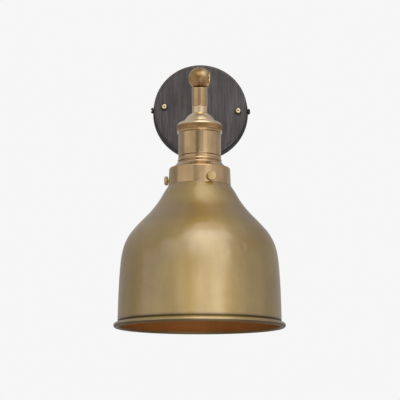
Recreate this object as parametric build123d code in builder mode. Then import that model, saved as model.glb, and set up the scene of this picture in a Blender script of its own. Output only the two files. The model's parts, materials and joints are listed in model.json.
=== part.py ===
"""Wall lamp: dark round wall plate, straight brass arm, ball knuckle, brass
lampholder with a knurled ring, stepped shade gallery with three thumb screws
and a spun brass bell shade with a rolled rim.

Frame: millimetres. The wall is the plane Y = 0, the lamp stands out towards
-Y, +X is to the right of a viewer facing the wall and +Z is up. The origin is
the centre of the wall plate on the wall.
"""
import os
from math import cos, pi, radians, sin, sqrt

from build123d import *

os.makedirs("parts", exist_ok=True)

# ---------------------------------------------------------------- dimensions
# lamp axis and knuckle
AXIS_Y = -172.0          # vertical axis of the shade, out from the wall
BALL_R = 11.7            # ball knuckle
BALL_CAVITY_R = 7.0      # hollow inside the ball
BALL_GAP = 0.08          # half of the gap between the two ball halves
SWEEP_R = 12.0           # clear radius swept round the ball
FLAT_X = 9.3             # flat on the ball under the pivot screw head
PIVOT_HEAD_R = 7.0
PIVOT_HEAD_X = 11.0      # outer face of the pivot screw head
PIVOT_R = 2.45
PIVOT_HOLE_R = 2.5

# wall plate
COVER_R_BACK = 54.0
COVER_R_FRONT = 52.75
COVER_DEPTH = 18.0
COVER_WALL = 1.2
COVER_EDGE_R = 2.5
BRACKET_R = 48.0
BRACKET_T = 1.6
WALL_SLOT_SPACING = 60.0
WALL_SLOT_L = 12.0
WALL_SLOT_W = 5.0
WALL_CABLE_R = 9.0
STUDS = [(-40.8, 4.2), (42.5, -0.5)]    # across, up
STUD_R = 1.75
RIM_SCREW_Z = {-1: 1.6, 1: 0.2}         # left, right
RIM_SLOT_TURN = {-1: 12.0, 1: 27.0}
RIM_SCREW_D = 9.5        # out from the wall
INLET_D = 9.0            # cord inlet, out from the wall
INLET_R = 5.0
INLET_BORE_R = 3.5

# arm
ARM_R = 6.5
ARM_BORE_R = 5.0
ARM_START = 22.0
ARM_END = 158.3
FLANGE_R = 8.4
NIPPLE_R = 4.95
NIPPLE_BORE_R = 3.4
LEAD_R = 2.4

# neck and lampholder (heights below the arm axis)
NECK_R = 8.0
NECK_TOP = -9.2
SADDLE_R = 19.67         # shallow hollow across the top of the neck, from front to back
SADDLE_Z = 8.77
SEAT_R = 12.0            # round seat that clears the ball
NECK_END = -30.0
BOSS_R = 7.75
BOSS_END = -36.9
DOME_R = 16.6
DOME_END = -46.5
RING_R = 23.3
RING_TOP = -46.2
RING_END = -57.8
SLEEVE_R = 21.85
SLEEVE_END = -82.0
THREAD_R = 19.9
THREAD_END = -99.5
UPPER_RING_TOP = -82.4
UPPER_RING_END = -88.0

# gallery and thumb screws
GALLERY_R_TOP = 31.2
GALLERY_R_END = 31.9
GALLERY_END = -112.9
GALLERY_T = 1.0
THUMB_Z = [-107.4, -106.4, -106.4]
THUMB_ANGLES = [20.9, -99.1, 140.9]     # from the front, towards +X
THUMB_SHANK_R = 1.6
THUMB_HEAD_R = 4.7
THUMB_TIP = 28.5
THUMB_SHOULDER = 33.2
THUMB_FACE = 36.2

# shade
SHADE_T = 0.85
FITTER_R = 28.3
FITTER_TOP = -99.5
SHADE_PROFILE = [         # radius, height of the outer face
    (31.9, -113.05), (36.3, -119.8), (39.9, -126.1), (43.9, -132.2),
    (48.7, -138.4), (54.3, -144.6), (60.35, -150.8), (66.05, -157.0),
    (70.85, -163.1), (74.4, -169.3), (76.85, -175.4), (78.9, -183.6),
    (80.25, -193.8), (81.15, -206.0), (81.9, -222.3), (82.45, -238.5),
    (82.65, -254.8),
]
BEAD_R = 84.2            # rolled rim: ring radius, height, wire radius
BEAD_Z = -255.2
BEAD_TUBE_R = 2.6

# socket and bulb
SHELL_R = 14.3
SHELL_BORE_R = 13.5
BULB_CAP_R = 13.1

# ---------------------------------------------------------- reference planes
LAMP = Plane(origin=(0, AXIS_Y, 0), x_dir=(1, 0, 0), z_dir=(0, -1, 0))
LAMP_AXIS = Axis((0, AXIS_Y, 0), (0, 0, 1))
PIVOT_AXIS = Axis((0, AXIS_Y, 0), (1, 0, 0))
WALL = Plane(origin=(0, 0, 0), x_dir=(1, 0, 0), z_dir=(0, 0, -1))
WALL_AXIS = Axis((0, 0, 0), (0, 1, 0))
FACE = Plane(origin=(0, 0, 0), x_dir=(1, 0, 0), z_dir=(0, -1, 0))


def out_from_wall(d):
    """Plane parallel to the wall, d out from it, facing the room."""
    return Plane(origin=(0, -d, 0), x_dir=(1, 0, 0), z_dir=(0, -1, 0))


def level(z):
    """Horizontal plane across the lamp axis at height z."""
    return Plane(origin=(0, AXIS_Y, z), x_dir=(1, 0, 0), z_dir=(0, 0, 1))


def cover_radius(d):
    """Outer radius of the wall plate cover at d out from the wall."""
    return COVER_R_BACK + (COVER_R_FRONT - COVER_R_BACK) * d / COVER_DEPTH


# =============================================================== wall side
# round steel bracket on the wall, with slots, stud holes and two bent tabs
TAB_X = 50.6
with BuildPart() as wall_bracket:
    with BuildSketch(FACE):
        Circle(BRACKET_R)
        Circle(WALL_CABLE_R, mode=Mode.SUBTRACT)
        with Locations((-WALL_SLOT_SPACING / 2, 0), (WALL_SLOT_SPACING / 2, 0)):
            SlotOverall(WALL_SLOT_L, WALL_SLOT_W, mode=Mode.SUBTRACT)
        with Locations(*STUDS):
            Circle(STUD_R, mode=Mode.SUBTRACT)
        with Locations((0, -26), (0, 28)):
            Circle(1.5, mode=Mode.SUBTRACT)
    extrude(amount=BRACKET_T)
    with BuildSketch(FACE):
        with Locations((-(TAB_X + 46.5) / 2, RIM_SCREW_Z[-1]), ((TAB_X + 46.5) / 2, RIM_SCREW_Z[1])):
            Rectangle(TAB_X - 46.5, 12)
    extrude(amount=BRACKET_T)
    with BuildSketch(out_from_wall(BRACKET_T)):
        with Locations((-(TAB_X - 0.8), RIM_SCREW_Z[-1]), (TAB_X - 0.8, RIM_SCREW_Z[1])):
            Rectangle(1.6, 12)
    extrude(amount=12.0)
    for side in (-1, 1):
        with BuildSketch(Plane(origin=(side * 45, -RIM_SCREW_D, RIM_SCREW_Z[side]), x_dir=(0, 1, 0), z_dir=(side, 0, 0))):
            Circle(2.0)
        extrude(amount=15, mode=Mode.SUBTRACT)
wall_bracket.part.label = "wall_bracket"
export_step(wall_bracket.part, "parts/wall_bracket.step")

# two threaded studs riveted in the bracket
with BuildPart() as bracket_studs:
    with BuildSketch(FACE):
        with Locations(*STUDS):
            Circle(STUD_R - 0.03)
    extrude(amount=19.6)
    with BuildSketch(out_from_wall(BRACKET_T)):
        with Locations(*STUDS):
            Circle(3.0)
    extrude(amount=1.4)
bracket_studs.part.label = "bracket_studs"
export_step(bracket_studs.part, "parts/bracket_studs.step")

# dished cover of the wall plate, with a rounded front edge
with BuildPart() as backplate_cover:
    with BuildSketch(WALL):
        with BuildLine():
            Polyline((0, 0), (COVER_R_BACK, 0), (COVER_R_FRONT, COVER_DEPTH), (0, COVER_DEPTH), close=True)
        make_face()
        fillet([v for v in vertices() if v.X > 1 and v.Y > 1], COVER_EDGE_R)
    revolve(axis=WALL_AXIS)
    with BuildSketch(WALL):
        with BuildLine():
            Polyline(
                (0, -1), (COVER_R_BACK - COVER_WALL, -1),
                (COVER_R_FRONT - COVER_WALL, COVER_DEPTH - COVER_WALL),
                (0, COVER_DEPTH - COVER_WALL), close=True)
        make_face()
        fillet([v for v in vertices() if v.X > 1 and v.Y > 1], COVER_EDGE_R - COVER_WALL)
    revolve(axis=WALL_AXIS, mode=Mode.SUBTRACT)
    with BuildSketch(out_from_wall(COVER_DEPTH - 4)):
        Circle(ARM_BORE_R)
        with Locations(*STUDS):
            Circle(STUD_R + 0.15)
    extrude(amount=8, mode=Mode.SUBTRACT)
    for side in (-1, 1):
        with BuildSketch(Plane(origin=(side * 45, -RIM_SCREW_D, RIM_SCREW_Z[side]), x_dir=(0, 1, 0), z_dir=(side, 0, 0))):
            Circle(2.2)
        extrude(amount=15, mode=Mode.SUBTRACT)
    with BuildSketch(Plane(origin=(0, -INLET_D, -62), x_dir=(1, 0, 0), z_dir=(0, 0, 1))):
        Circle(INLET_R)
    extrude(amount=20, mode=Mode.SUBTRACT)
backplate_cover.part.label = "backplate_cover"
export_step(backplate_cover.part, "parts/backplate_cover.step")

# round domed brass nuts on the studs, with a dimple in the crown
NUT_R = 2.95
with BuildPart() as front_nuts:
    for sx, sz in STUDS:
        nut_plane = Plane(origin=(sx, 0, sz), x_dir=(1, 0, 0), z_dir=(0, 0, -1))
        with BuildSketch(nut_plane):
            with BuildLine():
                Polyline((0, 20.2), (0, 19.7), (STUD_R, 19.7), (STUD_R, COVER_DEPTH), (NUT_R, COVER_DEPTH), (NUT_R, 19.4))
                ThreePointArc((NUT_R, 19.4), (2.4, 20.55), (1.15, 21.0))
                Polyline((1.15, 21.0), (0.95, 20.2), (0, 20.2))
            make_face()
        revolve(axis=Axis((sx, 0, sz), (0, 1, 0)))
front_nuts.part.label = "front_nuts"
export_step(front_nuts.part, "parts/front_nuts.step")

# black slotted screws through the rim of the cover into the bracket tabs
RIM_HEAD_X = cover_radius(RIM_SCREW_D - 3.3) + 0.04
with BuildPart() as rim_screws:
    for side in (-1, 1):
        with BuildSketch(Plane(origin=(0, -RIM_SCREW_D, RIM_SCREW_Z[side]), x_dir=(side, 0, 0), z_dir=(0, -1, 0))):
            with BuildLine():
                Polyline((48.6, 0), (48.6, 1.95), (RIM_HEAD_X, 1.95), (RIM_HEAD_X, 3.3), (RIM_HEAD_X + 1.3, 3.3))
                ThreePointArc((RIM_HEAD_X + 1.3, 3.3), (RIM_HEAD_X + 2.35, 2.3), (RIM_HEAD_X + 2.75, 0))
                Line((RIM_HEAD_X + 2.75, 0), (48.6, 0))
            make_face()
        revolve(axis=Axis((0, -RIM_SCREW_D, RIM_SCREW_Z[side]), (1, 0, 0)))
        with BuildSketch(
                Plane(origin=(side * (RIM_HEAD_X + 1.3), -RIM_SCREW_D, RIM_SCREW_Z[side]), x_dir=(0, side, 0),
                      z_dir=(side, 0, 0))):
            Rectangle(10.0, 1.4, rotation=side * RIM_SLOT_TURN[side])
        extrude(amount=3, mode=Mode.SUBTRACT)
rim_screws.part.label = "rim_screws"
export_step(rim_screws.part, "parts/rim_screws.step")

# rubber bush lining the cord inlet at the bottom of the rim
with BuildPart() as inlet_grommet:
    with BuildSketch(Plane(origin=(0, -INLET_D, 0), x_dir=(1, 0, 0), z_dir=(0, -1, 0))):
        with BuildLine():
            Polyline(
                (INLET_BORE_R, -55.4), (5.7, -55.4), (6.2, -54.9), (6.2, -53.9), (4.95, -53.9), (4.95, -51.3),
                (6.0, -51.3), (6.0, -50.2), (5.6, -49.8), (INLET_BORE_R, -49.8), close=True)
        make_face()
    revolve(axis=Axis((0, -INLET_D, 0), (0, 0, 1)))
inlet_grommet.part.label = "inlet_grommet"
export_step(inlet_grommet.part, "parts/inlet_grommet.step")

# terminal block on the bracket: body with wire holes and screw holes
BLOCK_Z = 28.0
with BuildPart() as terminal_block:
    with BuildSketch(out_from_wall(BRACKET_T)):
        with Locations((0, BLOCK_Z)):
            RectangleRounded(34, 16, 1.5)
    extrude(amount=10.0)
    fillet(terminal_block.faces().sort_by(Axis.Y)[0].edges(), 0.8)
    with BuildSketch(out_from_wall(BRACKET_T + 5)):
        with Locations((-11, BLOCK_Z + 4), (-11, BLOCK_Z - 4), (11, BLOCK_Z + 4), (11, BLOCK_Z - 4)):
            Circle(2.05)
    extrude(amount=10, mode=Mode.SUBTRACT)
    with BuildSketch(out_from_wall(BRACKET_T - 1)):
        with Locations((0, BLOCK_Z)):
            Circle(1.55)
    extrude(amount=20, mode=Mode.SUBTRACT)
    with BuildSketch(Plane(origin=(0, -(BRACKET_T + 3.2), BLOCK_Z - 12), x_dir=(1, 0, 0), z_dir=(0, 0, 1))):
        with Locations((-11, 0), (11, 0)):
            Circle(1.5)
    extrude(amount=24, mode=Mode.SUBTRACT)
terminal_block.part.label = "terminal_block"
export_step(terminal_block.part, "parts/terminal_block.step")

# wire screws in the terminal block
with BuildPart() as terminal_screws:
    with BuildSketch(out_from_wall(BRACKET_T + 5)):
        with Locations((-11, BLOCK_Z + 4), (-11, BLOCK_Z - 4), (11, BLOCK_Z + 4), (11, BLOCK_Z - 4)):
            Circle(2.0)
    extrude(amount=4.0)
    with BuildSketch(out_from_wall(BRACKET_T + 8.2)):
        with Locations((-11, BLOCK_Z + 4), (-11, BLOCK_Z - 4), (11, BLOCK_Z + 4), (11, BLOCK_Z - 4)):
            Rectangle(5, 0.7)
    extrude(amount=2, mode=Mode.SUBTRACT)
terminal_screws.part.label = "terminal_screws"
export_step(terminal_screws.part, "parts/terminal_screws.step")

# screw that holds the block on the bracket
with BuildPart() as terminal_fixing_screw:
    with BuildSketch(Plane(origin=(0, 0, BLOCK_Z), x_dir=(1, 0, 0), z_dir=(0, 0, -1))):
        with BuildLine():
            Polyline((0, 0.2), (1.45, 0.2), (1.45, BRACKET_T + 10.0), (2.8, BRACKET_T + 10.0),
                     (2.8, BRACKET_T + 11.2), (2.2, BRACKET_T + 11.8), (0, BRACKET_T + 11.8), close=True)
        make_face()
    revolve(axis=Axis((0, 0, BLOCK_Z), (0, 1, 0)))
    with BuildSketch(out_from_wall(BRACKET_T + 11.0)):
        with Locations((0, BLOCK_Z)):
            Rectangle(7, 0.8)
    extrude(amount=2, mode=Mode.SUBTRACT)
terminal_fixing_screw.part.label = "terminal_fixing_screw"
export_step(terminal_fixing_screw.part, "parts/terminal_fixing_screw.step")

# earth screw and its washer on the bracket
EARTH_Z = -26.0
with BuildPart() as earth_washer:
    with BuildSketch(out_from_wall(BRACKET_T)):
        with Locations((0, EARTH_Z)):
            Circle(5.0)
            Circle(1.55, mode=Mode.SUBTRACT)
    extrude(amount=0.8)
earth_washer.part.label = "earth_washer"
export_step(earth_washer.part, "parts/earth_washer.step")

with BuildPart() as earth_screw:
    with BuildSketch(Plane(origin=(0, 0, EARTH_Z), x_dir=(1, 0, 0), z_dir=(0, 0, -1))):
        with BuildLine():
            Polyline((0, 0.2), (1.45, 0.2), (1.45, BRACKET_T + 0.8), (3.5, BRACKET_T + 0.8),
                     (3.5, BRACKET_T + 2.6), (2.9, BRACKET_T + 3.2), (0, BRACKET_T + 3.2), close=True)
        make_face()
    revolve(axis=Axis((0, 0, EARTH_Z), (0, 1, 0)))
    with BuildSketch(out_from_wall(BRACKET_T + 2.2)):
        with Locations((0, EARTH_Z)):
            Rectangle(8, 1.0)
    extrude(amount=2, mode=Mode.SUBTRACT)
earth_screw.part.label = "earth_screw"
export_step(earth_screw.part, "parts/earth_screw.step")

# hollow threaded nipple that carries the arm through the cover
with BuildPart() as arm_nipple:
    with BuildSketch(out_from_wall(10.5)):
        Circle(NIPPLE_R)
        Circle(NIPPLE_BORE_R, mode=Mode.SUBTRACT)
    extrude(amount=22.5)
arm_nipple.part.label = "arm_nipple"
export_step(arm_nipple.part, "parts/arm_nipple.step")

# lock nut and toothed washer behind the cover
with BuildPart() as arm_locknut:
    with BuildSketch(out_from_wall(12.4)):
        RegularPolygon(radius=7.0, side_count=6, major_radius=False)
        Circle(ARM_BORE_R, mode=Mode.SUBTRACT)
    extrude(amount=3.6)
arm_locknut.part.label = "arm_locknut"
export_step(arm_locknut.part, "parts/arm_locknut.step")

with BuildPart() as arm_lock_washer:
    with BuildSketch(out_from_wall(16.0)):
        Circle(8.0)
        with PolarLocations(8.3, 12):
            Rectangle(1.6, 1.6)
        Circle(ARM_BORE_R, mode=Mode.SUBTRACT)
    extrude(amount=0.8)
arm_lock_washer.part.label = "arm_lock_washer"
export_step(arm_lock_washer.part, "parts/arm_lock_washer.step")

# turned flange between the cover and the arm
with BuildPart() as arm_flange:
    with BuildSketch(WALL):
        with BuildLine():
            Polyline((ARM_BORE_R, COVER_DEPTH), (FLANGE_R, COVER_DEPTH), (FLANGE_R, 19.6))
            ThreePointArc((FLANGE_R, 19.6), (FLANGE_R - 0.55, 21.0), (FLANGE_R - 1.7, ARM_START))
            Polyline((FLANGE_R - 1.7, ARM_START), (ARM_BORE_R, ARM_START), (ARM_BORE_R, COVER_DEPTH))
        make_face()
    revolve(axis=WALL_AXIS)
arm_flange.part.label = "arm_flange"
export_step(arm_flange.part, "parts/arm_flange.step")

# straight arm tube
with BuildPart() as arm_tube:
    with BuildSketch(WALL):
        with BuildLine():
            Polyline(
                (ARM_BORE_R, ARM_START), (ARM_R, ARM_START), (ARM_R, ARM_END - 0.5), (ARM_R - 0.5, ARM_END),
                (ARM_BORE_R, ARM_END), close=True)
        make_face()
    revolve(axis=WALL_AXIS)
arm_tube.part.label = "arm_tube"
export_step(arm_tube.part, "parts/arm_tube.step")

# two-core lead inside the arm
with BuildPart() as arm_lead:
    with BuildSketch(out_from_wall(7.0)):
        Circle(LEAD_R)
    extrude(amount=152.0)
    fillet(arm_lead.edges(), 0.4)
arm_lead.part.label = "arm_lead"
export_step(arm_lead.part, "parts/arm_lead.step")

# section of the hollow ball, as points on circles about the pivot axis
SPLIT_OUT = sqrt(BALL_R ** 2 - BALL_GAP ** 2)
SPLIT_IN = sqrt(BALL_CAVITY_R ** 2 - BALL_GAP ** 2)
FLAT_RIM = sqrt(BALL_R ** 2 - FLAT_X ** 2)
HOLE_X = sqrt(BALL_CAVITY_R ** 2 - PIVOT_HOLE_R ** 2)
ARC45 = sqrt(0.5)

# fixed half of the ball, on the left, with its spigot in the arm
with BuildPart() as knuckle_fixed_half:
    with BuildSketch(WALL):
        with BuildLine():
            Polyline(
                (0, -AXIS_Y - 8.0), (0, 142.0), (NIPPLE_R, 142.0), (NIPPLE_R, ARM_END), (5.3, ARM_END),
                (5.3, -AXIS_Y - 8.0), close=True)
        make_face()
    revolve(axis=WALL_AXIS)
    with BuildSketch(LAMP):
        with BuildLine():
            Line((-BALL_GAP, 0), (-BALL_GAP, sqrt(SWEEP_R ** 2 - BALL_GAP ** 2)))
            ThreePointArc(
                (-BALL_GAP, sqrt(SWEEP_R ** 2 - BALL_GAP ** 2)), (SWEEP_R * ARC45, SWEEP_R * ARC45), (SWEEP_R, 0))
            Line((SWEEP_R, 0), (-BALL_GAP, 0))
        make_face()
    revolve(axis=PIVOT_AXIS, mode=Mode.SUBTRACT)
    with BuildSketch(LAMP):
        with BuildLine():
            Line((-BALL_GAP, SPLIT_IN), (-BALL_GAP, SPLIT_OUT))
            ThreePointArc((-BALL_GAP, SPLIT_OUT), (-BALL_R * ARC45, BALL_R * ARC45), (-BALL_R, 0))
            Polyline((-BALL_R, 0), (-10.4, 0), (-10.4, PIVOT_HOLE_R), (-HOLE_X, PIVOT_HOLE_R))
            ThreePointArc(
                (-HOLE_X, PIVOT_HOLE_R), (-BALL_CAVITY_R * ARC45, BALL_CAVITY_R * ARC45), (-BALL_GAP, SPLIT_IN))
        make_face()
    revolve(axis=PIVOT_AXIS)
    with BuildSketch(out_from_wall(140)):
        Circle(2.7)
    extrude(amount=28, mode=Mode.SUBTRACT)
knuckle_fixed_half.part.label = "knuckle_fixed_half"
export_step(knuckle_fixed_half.part, "parts/knuckle_fixed_half.step")

# pivot screw with a flat round slotted head on the right
with BuildPart() as pivot_screw:
    with BuildSketch(LAMP):
        with BuildLine():
            Polyline(
                (-10.2, 0), (-10.2, 2.0), (-9.75, PIVOT_R), (FLAT_X + 0.05, PIVOT_R), (FLAT_X + 0.05, PIVOT_HEAD_R),
                (PIVOT_HEAD_X - 0.7, PIVOT_HEAD_R), (PIVOT_HEAD_X, PIVOT_HEAD_R - 0.7), (PIVOT_HEAD_X, 0), close=True)
        make_face()
    revolve(axis=PIVOT_AXIS)
    with BuildSketch(Plane(origin=(PIVOT_HEAD_X - 1.0, AXIS_Y, 0), x_dir=(0, 1, 0), z_dir=(1, 0, 0))):
        Rectangle(18, 1.6, rotation=80)
    extrude(amount=3, mode=Mode.SUBTRACT)
pivot_screw.part.label = "pivot_screw"
export_step(pivot_screw.part, "parts/pivot_screw.step")

# spring washer in a recess under the pivot screw head
with BuildPart() as pivot_spring_washer:
    with BuildSketch(Plane(origin=(8.5, AXIS_Y, 0), x_dir=(0, 1, 0), z_dir=(1, 0, 0))):
        Circle(5.0)
        Circle(2.6, mode=Mode.SUBTRACT)
    extrude(amount=0.8)
pivot_spring_washer.part.label = "pivot_spring_washer"
export_step(pivot_spring_washer.part, "parts/pivot_spring_washer.step")

# =============================================================== lamp head
# moving half of the ball, on the right, with its spigot in the neck
with BuildPart() as knuckle_moving_half:
    with BuildSketch(LAMP):
        with BuildLine():
            Polyline((0, -8.0), (NIPPLE_R, -8.0), (NIPPLE_R, -22.0), (0, -22.0), close=True)
        make_face()
    revolve(axis=LAMP_AXIS)
    with BuildSketch(LAMP):
        with BuildLine():
            Line((BALL_GAP, 0), (BALL_GAP, sqrt(SWEEP_R ** 2 - BALL_GAP ** 2)))
            ThreePointArc(
                (BALL_GAP, sqrt(SWEEP_R ** 2 - BALL_GAP ** 2)), (-SWEEP_R * ARC45, SWEEP_R * ARC45), (-SWEEP_R, 0))
            Line((-SWEEP_R, 0), (BALL_GAP, 0))
        make_face()
    revolve(axis=PIVOT_AXIS, mode=Mode.SUBTRACT)
    with BuildSketch(LAMP):
        with BuildLine():
            Line((BALL_GAP, SPLIT_IN), (BALL_GAP, SPLIT_OUT))
            ThreePointArc((BALL_GAP, SPLIT_OUT), (BALL_R * 0.5, BALL_R * sqrt(0.75)), (FLAT_X, FLAT_RIM))
            Polyline((FLAT_X, FLAT_RIM), (FLAT_X, 5.05), (8.45, 5.05), (8.45, PIVOT_HOLE_R), (HOLE_X, PIVOT_HOLE_R))
            ThreePointArc(
                (HOLE_X, PIVOT_HOLE_R), (BALL_CAVITY_R * ARC45, BALL_CAVITY_R * ARC45), (BALL_GAP, SPLIT_IN))
        make_face()
    revolve(axis=PIVOT_AXIS)
    # flat cheek that carries the flat side of the ball down to the neck
    with BuildSketch(Plane(origin=(7.3, AXIS_Y, 0), x_dir=(0, 1, 0), z_dir=(1, 0, 0))):
        with Locations((0, -7.2)):
            RectangleRounded(10.0, 3.2, 1.2)
    extrude(amount=FLAT_X - 7.3)
    with BuildSketch(level(-24.0)):
        Circle(2.7)
    extrude(amount=20, mode=Mode.SUBTRACT)
knuckle_moving_half.part.label = "knuckle_moving_half"
export_step(knuckle_moving_half.part, "parts/knuckle_moving_half.step")

# neck tube below the ball, with a hollow seat that clears the ball
with BuildPart() as neck_tube:
    with BuildSketch(LAMP):
        with BuildLine():
            Polyline(
                (ARM_BORE_R, NECK_TOP), (NECK_R - 0.3, NECK_TOP), (NECK_R, NECK_TOP - 0.3), (NECK_R, NECK_END + 0.25),
                (NECK_R - 0.25, NECK_END), (ARM_BORE_R, NECK_END), close=True)
        make_face()
    revolve(axis=LAMP_AXIS)
    with BuildSketch(out_from_wall(-AXIS_Y - 12)):
        with Locations((0, SADDLE_Z)):
            Circle(SADDLE_R)
    extrude(amount=24, mode=Mode.SUBTRACT)
    with Locations((0, AXIS_Y, 0)):
        Sphere(SEAT_R, mode=Mode.SUBTRACT)
neck_tube.part.label = "neck_tube"
export_step(neck_tube.part, "parts/neck_tube.step")

# hollow threaded nipple between the neck and the lampholder
with BuildPart() as neck_nipple:
    with BuildSketch(LAMP):
        with BuildLine():
            Polyline((3.3, -22.5), (NIPPLE_R, -22.5), (NIPPLE_R, -39.2), (3.3, -39.2), close=True)
        make_face()
    revolve(axis=LAMP_AXIS)
neck_nipple.part.label = "neck_nipple"
export_step(neck_nipple.part, "parts/neck_nipple.step")

# boss and dome on top of the lampholder
GRUB_Z = -33.2
with BuildPart() as lampholder_dome:
    with BuildSketch(LAMP):
        with BuildLine():
            Polyline((ARM_BORE_R, NECK_END), (BOSS_R - 0.25, NECK_END), (BOSS_R, NECK_END - 0.25), (BOSS_R, BOSS_END))
            ThreePointArc((BOSS_R, BOSS_END), (12.7, -40.6), (DOME_R, DOME_END))
            Polyline((DOME_R, DOME_END), (DOME_R, -48.05), (19.5, -48.05), (19.5, -49.4), (15.3, -49.4), (15.3, -47.0))
            ThreePointArc((15.3, -47.0), (11.6, -41.9), (7.0, -38.6))
            Polyline((7.0, -38.6), (ARM_BORE_R, -38.6), (ARM_BORE_R, NECK_END))
        make_face()
    revolve(axis=LAMP_AXIS)
    with BuildSketch(Plane(origin=(0, AXIS_Y, GRUB_Z), x_dir=(1, 0, 0), z_dir=(0, 1, 0))):
        Circle(1.55)
    extrude(amount=12, mode=Mode.SUBTRACT)
lampholder_dome.part.label = "lampholder_dome"
export_step(lampholder_dome.part, "parts/lampholder_dome.step")

# grub screw at the back of the boss
with BuildPart() as neck_grub_screw:
    with BuildSketch(Plane(origin=(0, AXIS_Y + 5.0, GRUB_Z), x_dir=(1, 0, 0), z_dir=(0, 1, 0))):
        Circle(1.5)
    extrude(amount=3.2)
    with BuildSketch(Plane(origin=(0, AXIS_Y + 7.5, GRUB_Z), x_dir=(1, 0, 0), z_dir=(0, 1, 0))):
        Rectangle(4, 0.6)
    extrude(amount=2, mode=Mode.SUBTRACT)
neck_grub_screw.part.label = "neck_grub_screw"
export_step(neck_grub_screw.part, "parts/neck_grub_screw.step")

# knurled ring with a rounded shoulder and a bead at its lower edge
with BuildPart() as knurled_ring:
    with BuildSketch(LAMP):
        with BuildLine():
            Polyline((DOME_R + 0.1, -48.0), (DOME_R + 0.1, RING_TOP), (19.2, -46.7))
            ThreePointArc((19.2, -46.7), (22.1, -48.3), (RING_R, -51.2))
            Polyline(
                (RING_R, -51.2), (RING_R, -55.95), (22.7, -56.2), (22.7, -56.35), (23.05, -56.65), (23.05, -57.5),
                (22.7, RING_END), (SLEEVE_R + 0.05, RING_END), (SLEEVE_R + 0.05, -49.6), (19.6, -49.6), (19.6, -48.0),
                (DOME_R + 0.1, -48.0))
        make_face()
    revolve(axis=LAMP_AXIS)
knurled_ring.part.label = "knurled_ring"
export_step(knurled_ring.part, "parts/knurled_ring.step")

# lampholder sleeve with its threaded lower end
with BuildPart() as lampholder_sleeve:
    with BuildSketch(LAMP):
        with BuildLine():
            Polyline(
                (20.4, -49.65), (SLEEVE_R, -49.65), (SLEEVE_R, -57.75), (21.0, -57.95), (21.0, -58.65),
                (SLEEVE_R, -58.9), (SLEEVE_R, SLEEVE_END + 0.4), (SLEEVE_R - 0.4, SLEEVE_END),
                (THREAD_R, SLEEVE_END), (THREAD_R, THREAD_END), (18.8, THREAD_END), (18.8, -80.0), (20.4, -78.5),
                close=True)
        make_face()
    revolve(axis=LAMP_AXIS)
lampholder_sleeve.part.label = "lampholder_sleeve"
export_step(lampholder_sleeve.part, "parts/lampholder_sleeve.step")

# upper shade ring: grooved band and lip above the gallery
with BuildPart() as upper_shade_ring:
    with BuildSketch(LAMP):
        with BuildLine():
            Polyline(
                (THREAD_R + 0.05, UPPER_RING_TOP), (21.5, UPPER_RING_TOP), (22.0, UPPER_RING_TOP - 0.5), (22.0, -85.2),
                (22.5, -86.0), (22.65, -86.5), (22.65, -87.0), (22.4, -87.35), (21.4, -87.6), (21.4, UPPER_RING_END),
                (THREAD_R + 0.05, UPPER_RING_END), close=True)
        make_face()
    revolve(axis=LAMP_AXIS)
upper_shade_ring.part.label = "upper_shade_ring"
export_step(upper_shade_ring.part, "parts/upper_shade_ring.step")

# stepped shade gallery: cone, rounded shoulder and slightly flared skirt
with BuildPart() as gallery:
    with BuildSketch(LAMP):
        with BuildLine():
            Polyline(
                (THREAD_R + 0.05, UPPER_RING_END), (21.4, UPPER_RING_END), (21.4, -88.5), (22.5, -88.7), (23.1, -89.2),
                (23.35, -89.75), (23.4, -90.2), (24.05, -90.55), (25.0, -91.65), (26.6, -93.15))
            ThreePointArc((26.6, -93.15), (27.3, -93.7), (28.2, -94.05))
            Line((28.2, -94.05), (29.8, -94.4))
            ThreePointArc((29.8, -94.4), (30.8, -94.95), (GALLERY_R_TOP, -96.0))
            Polyline(
                (GALLERY_R_TOP, -96.0), (GALLERY_R_END, GALLERY_END), (GALLERY_R_END - GALLERY_T, GALLERY_END),
                (GALLERY_R_TOP - GALLERY_T, -96.3))
            ThreePointArc((GALLERY_R_TOP - GALLERY_T, -96.3), (30.0, -95.75), (29.5, -95.45))
            Polyline(
                (29.5, -95.45), (27.8, -95.05), (25.8, -93.95), (24.0, -91.95), (22.6, -90.6), (21.0, -89.3),
                (THREAD_R + 0.05, -89.3), (THREAD_R + 0.05, UPPER_RING_END))
        make_face()
    revolve(axis=LAMP_AXIS)
    for angle, height in zip(THUMB_ANGLES, THUMB_Z):
        a = radians(angle)
        outward = (sin(a), -cos(a), 0)
        with BuildSketch(Plane(origin=(0, AXIS_Y, height), x_dir=(0, 0, 1), z_dir=outward)):
            Circle(THUMB_SHANK_R + 0.05)
        extrude(amount=40, mode=Mode.SUBTRACT)
gallery.part.label = "gallery"
export_step(gallery.part, "parts/gallery.step")

# lower shade ring clamping the gallery from below, with grip notches
with BuildPart() as lower_shade_ring:
    with BuildSketch(LAMP):
        with BuildLine():
            Polyline(
                (THREAD_R + 0.05, -89.35), (20.7, -89.35), (24.0, -92.7), (24.0, -97.0), (23.6, -97.4),
                (THREAD_R + 0.05, -97.4), close=True)
        make_face()
    revolve(axis=LAMP_AXIS)
    with BuildSketch(level(-97.4)):
        with PolarLocations(24.2, 16):
            Rectangle(1.4, 2.6)
    extrude(amount=3.0, mode=Mode.SUBTRACT)
lower_shade_ring.part.label = "lower_shade_ring"
export_step(lower_shade_ring.part, "parts/lower_shade_ring.step")

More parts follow.
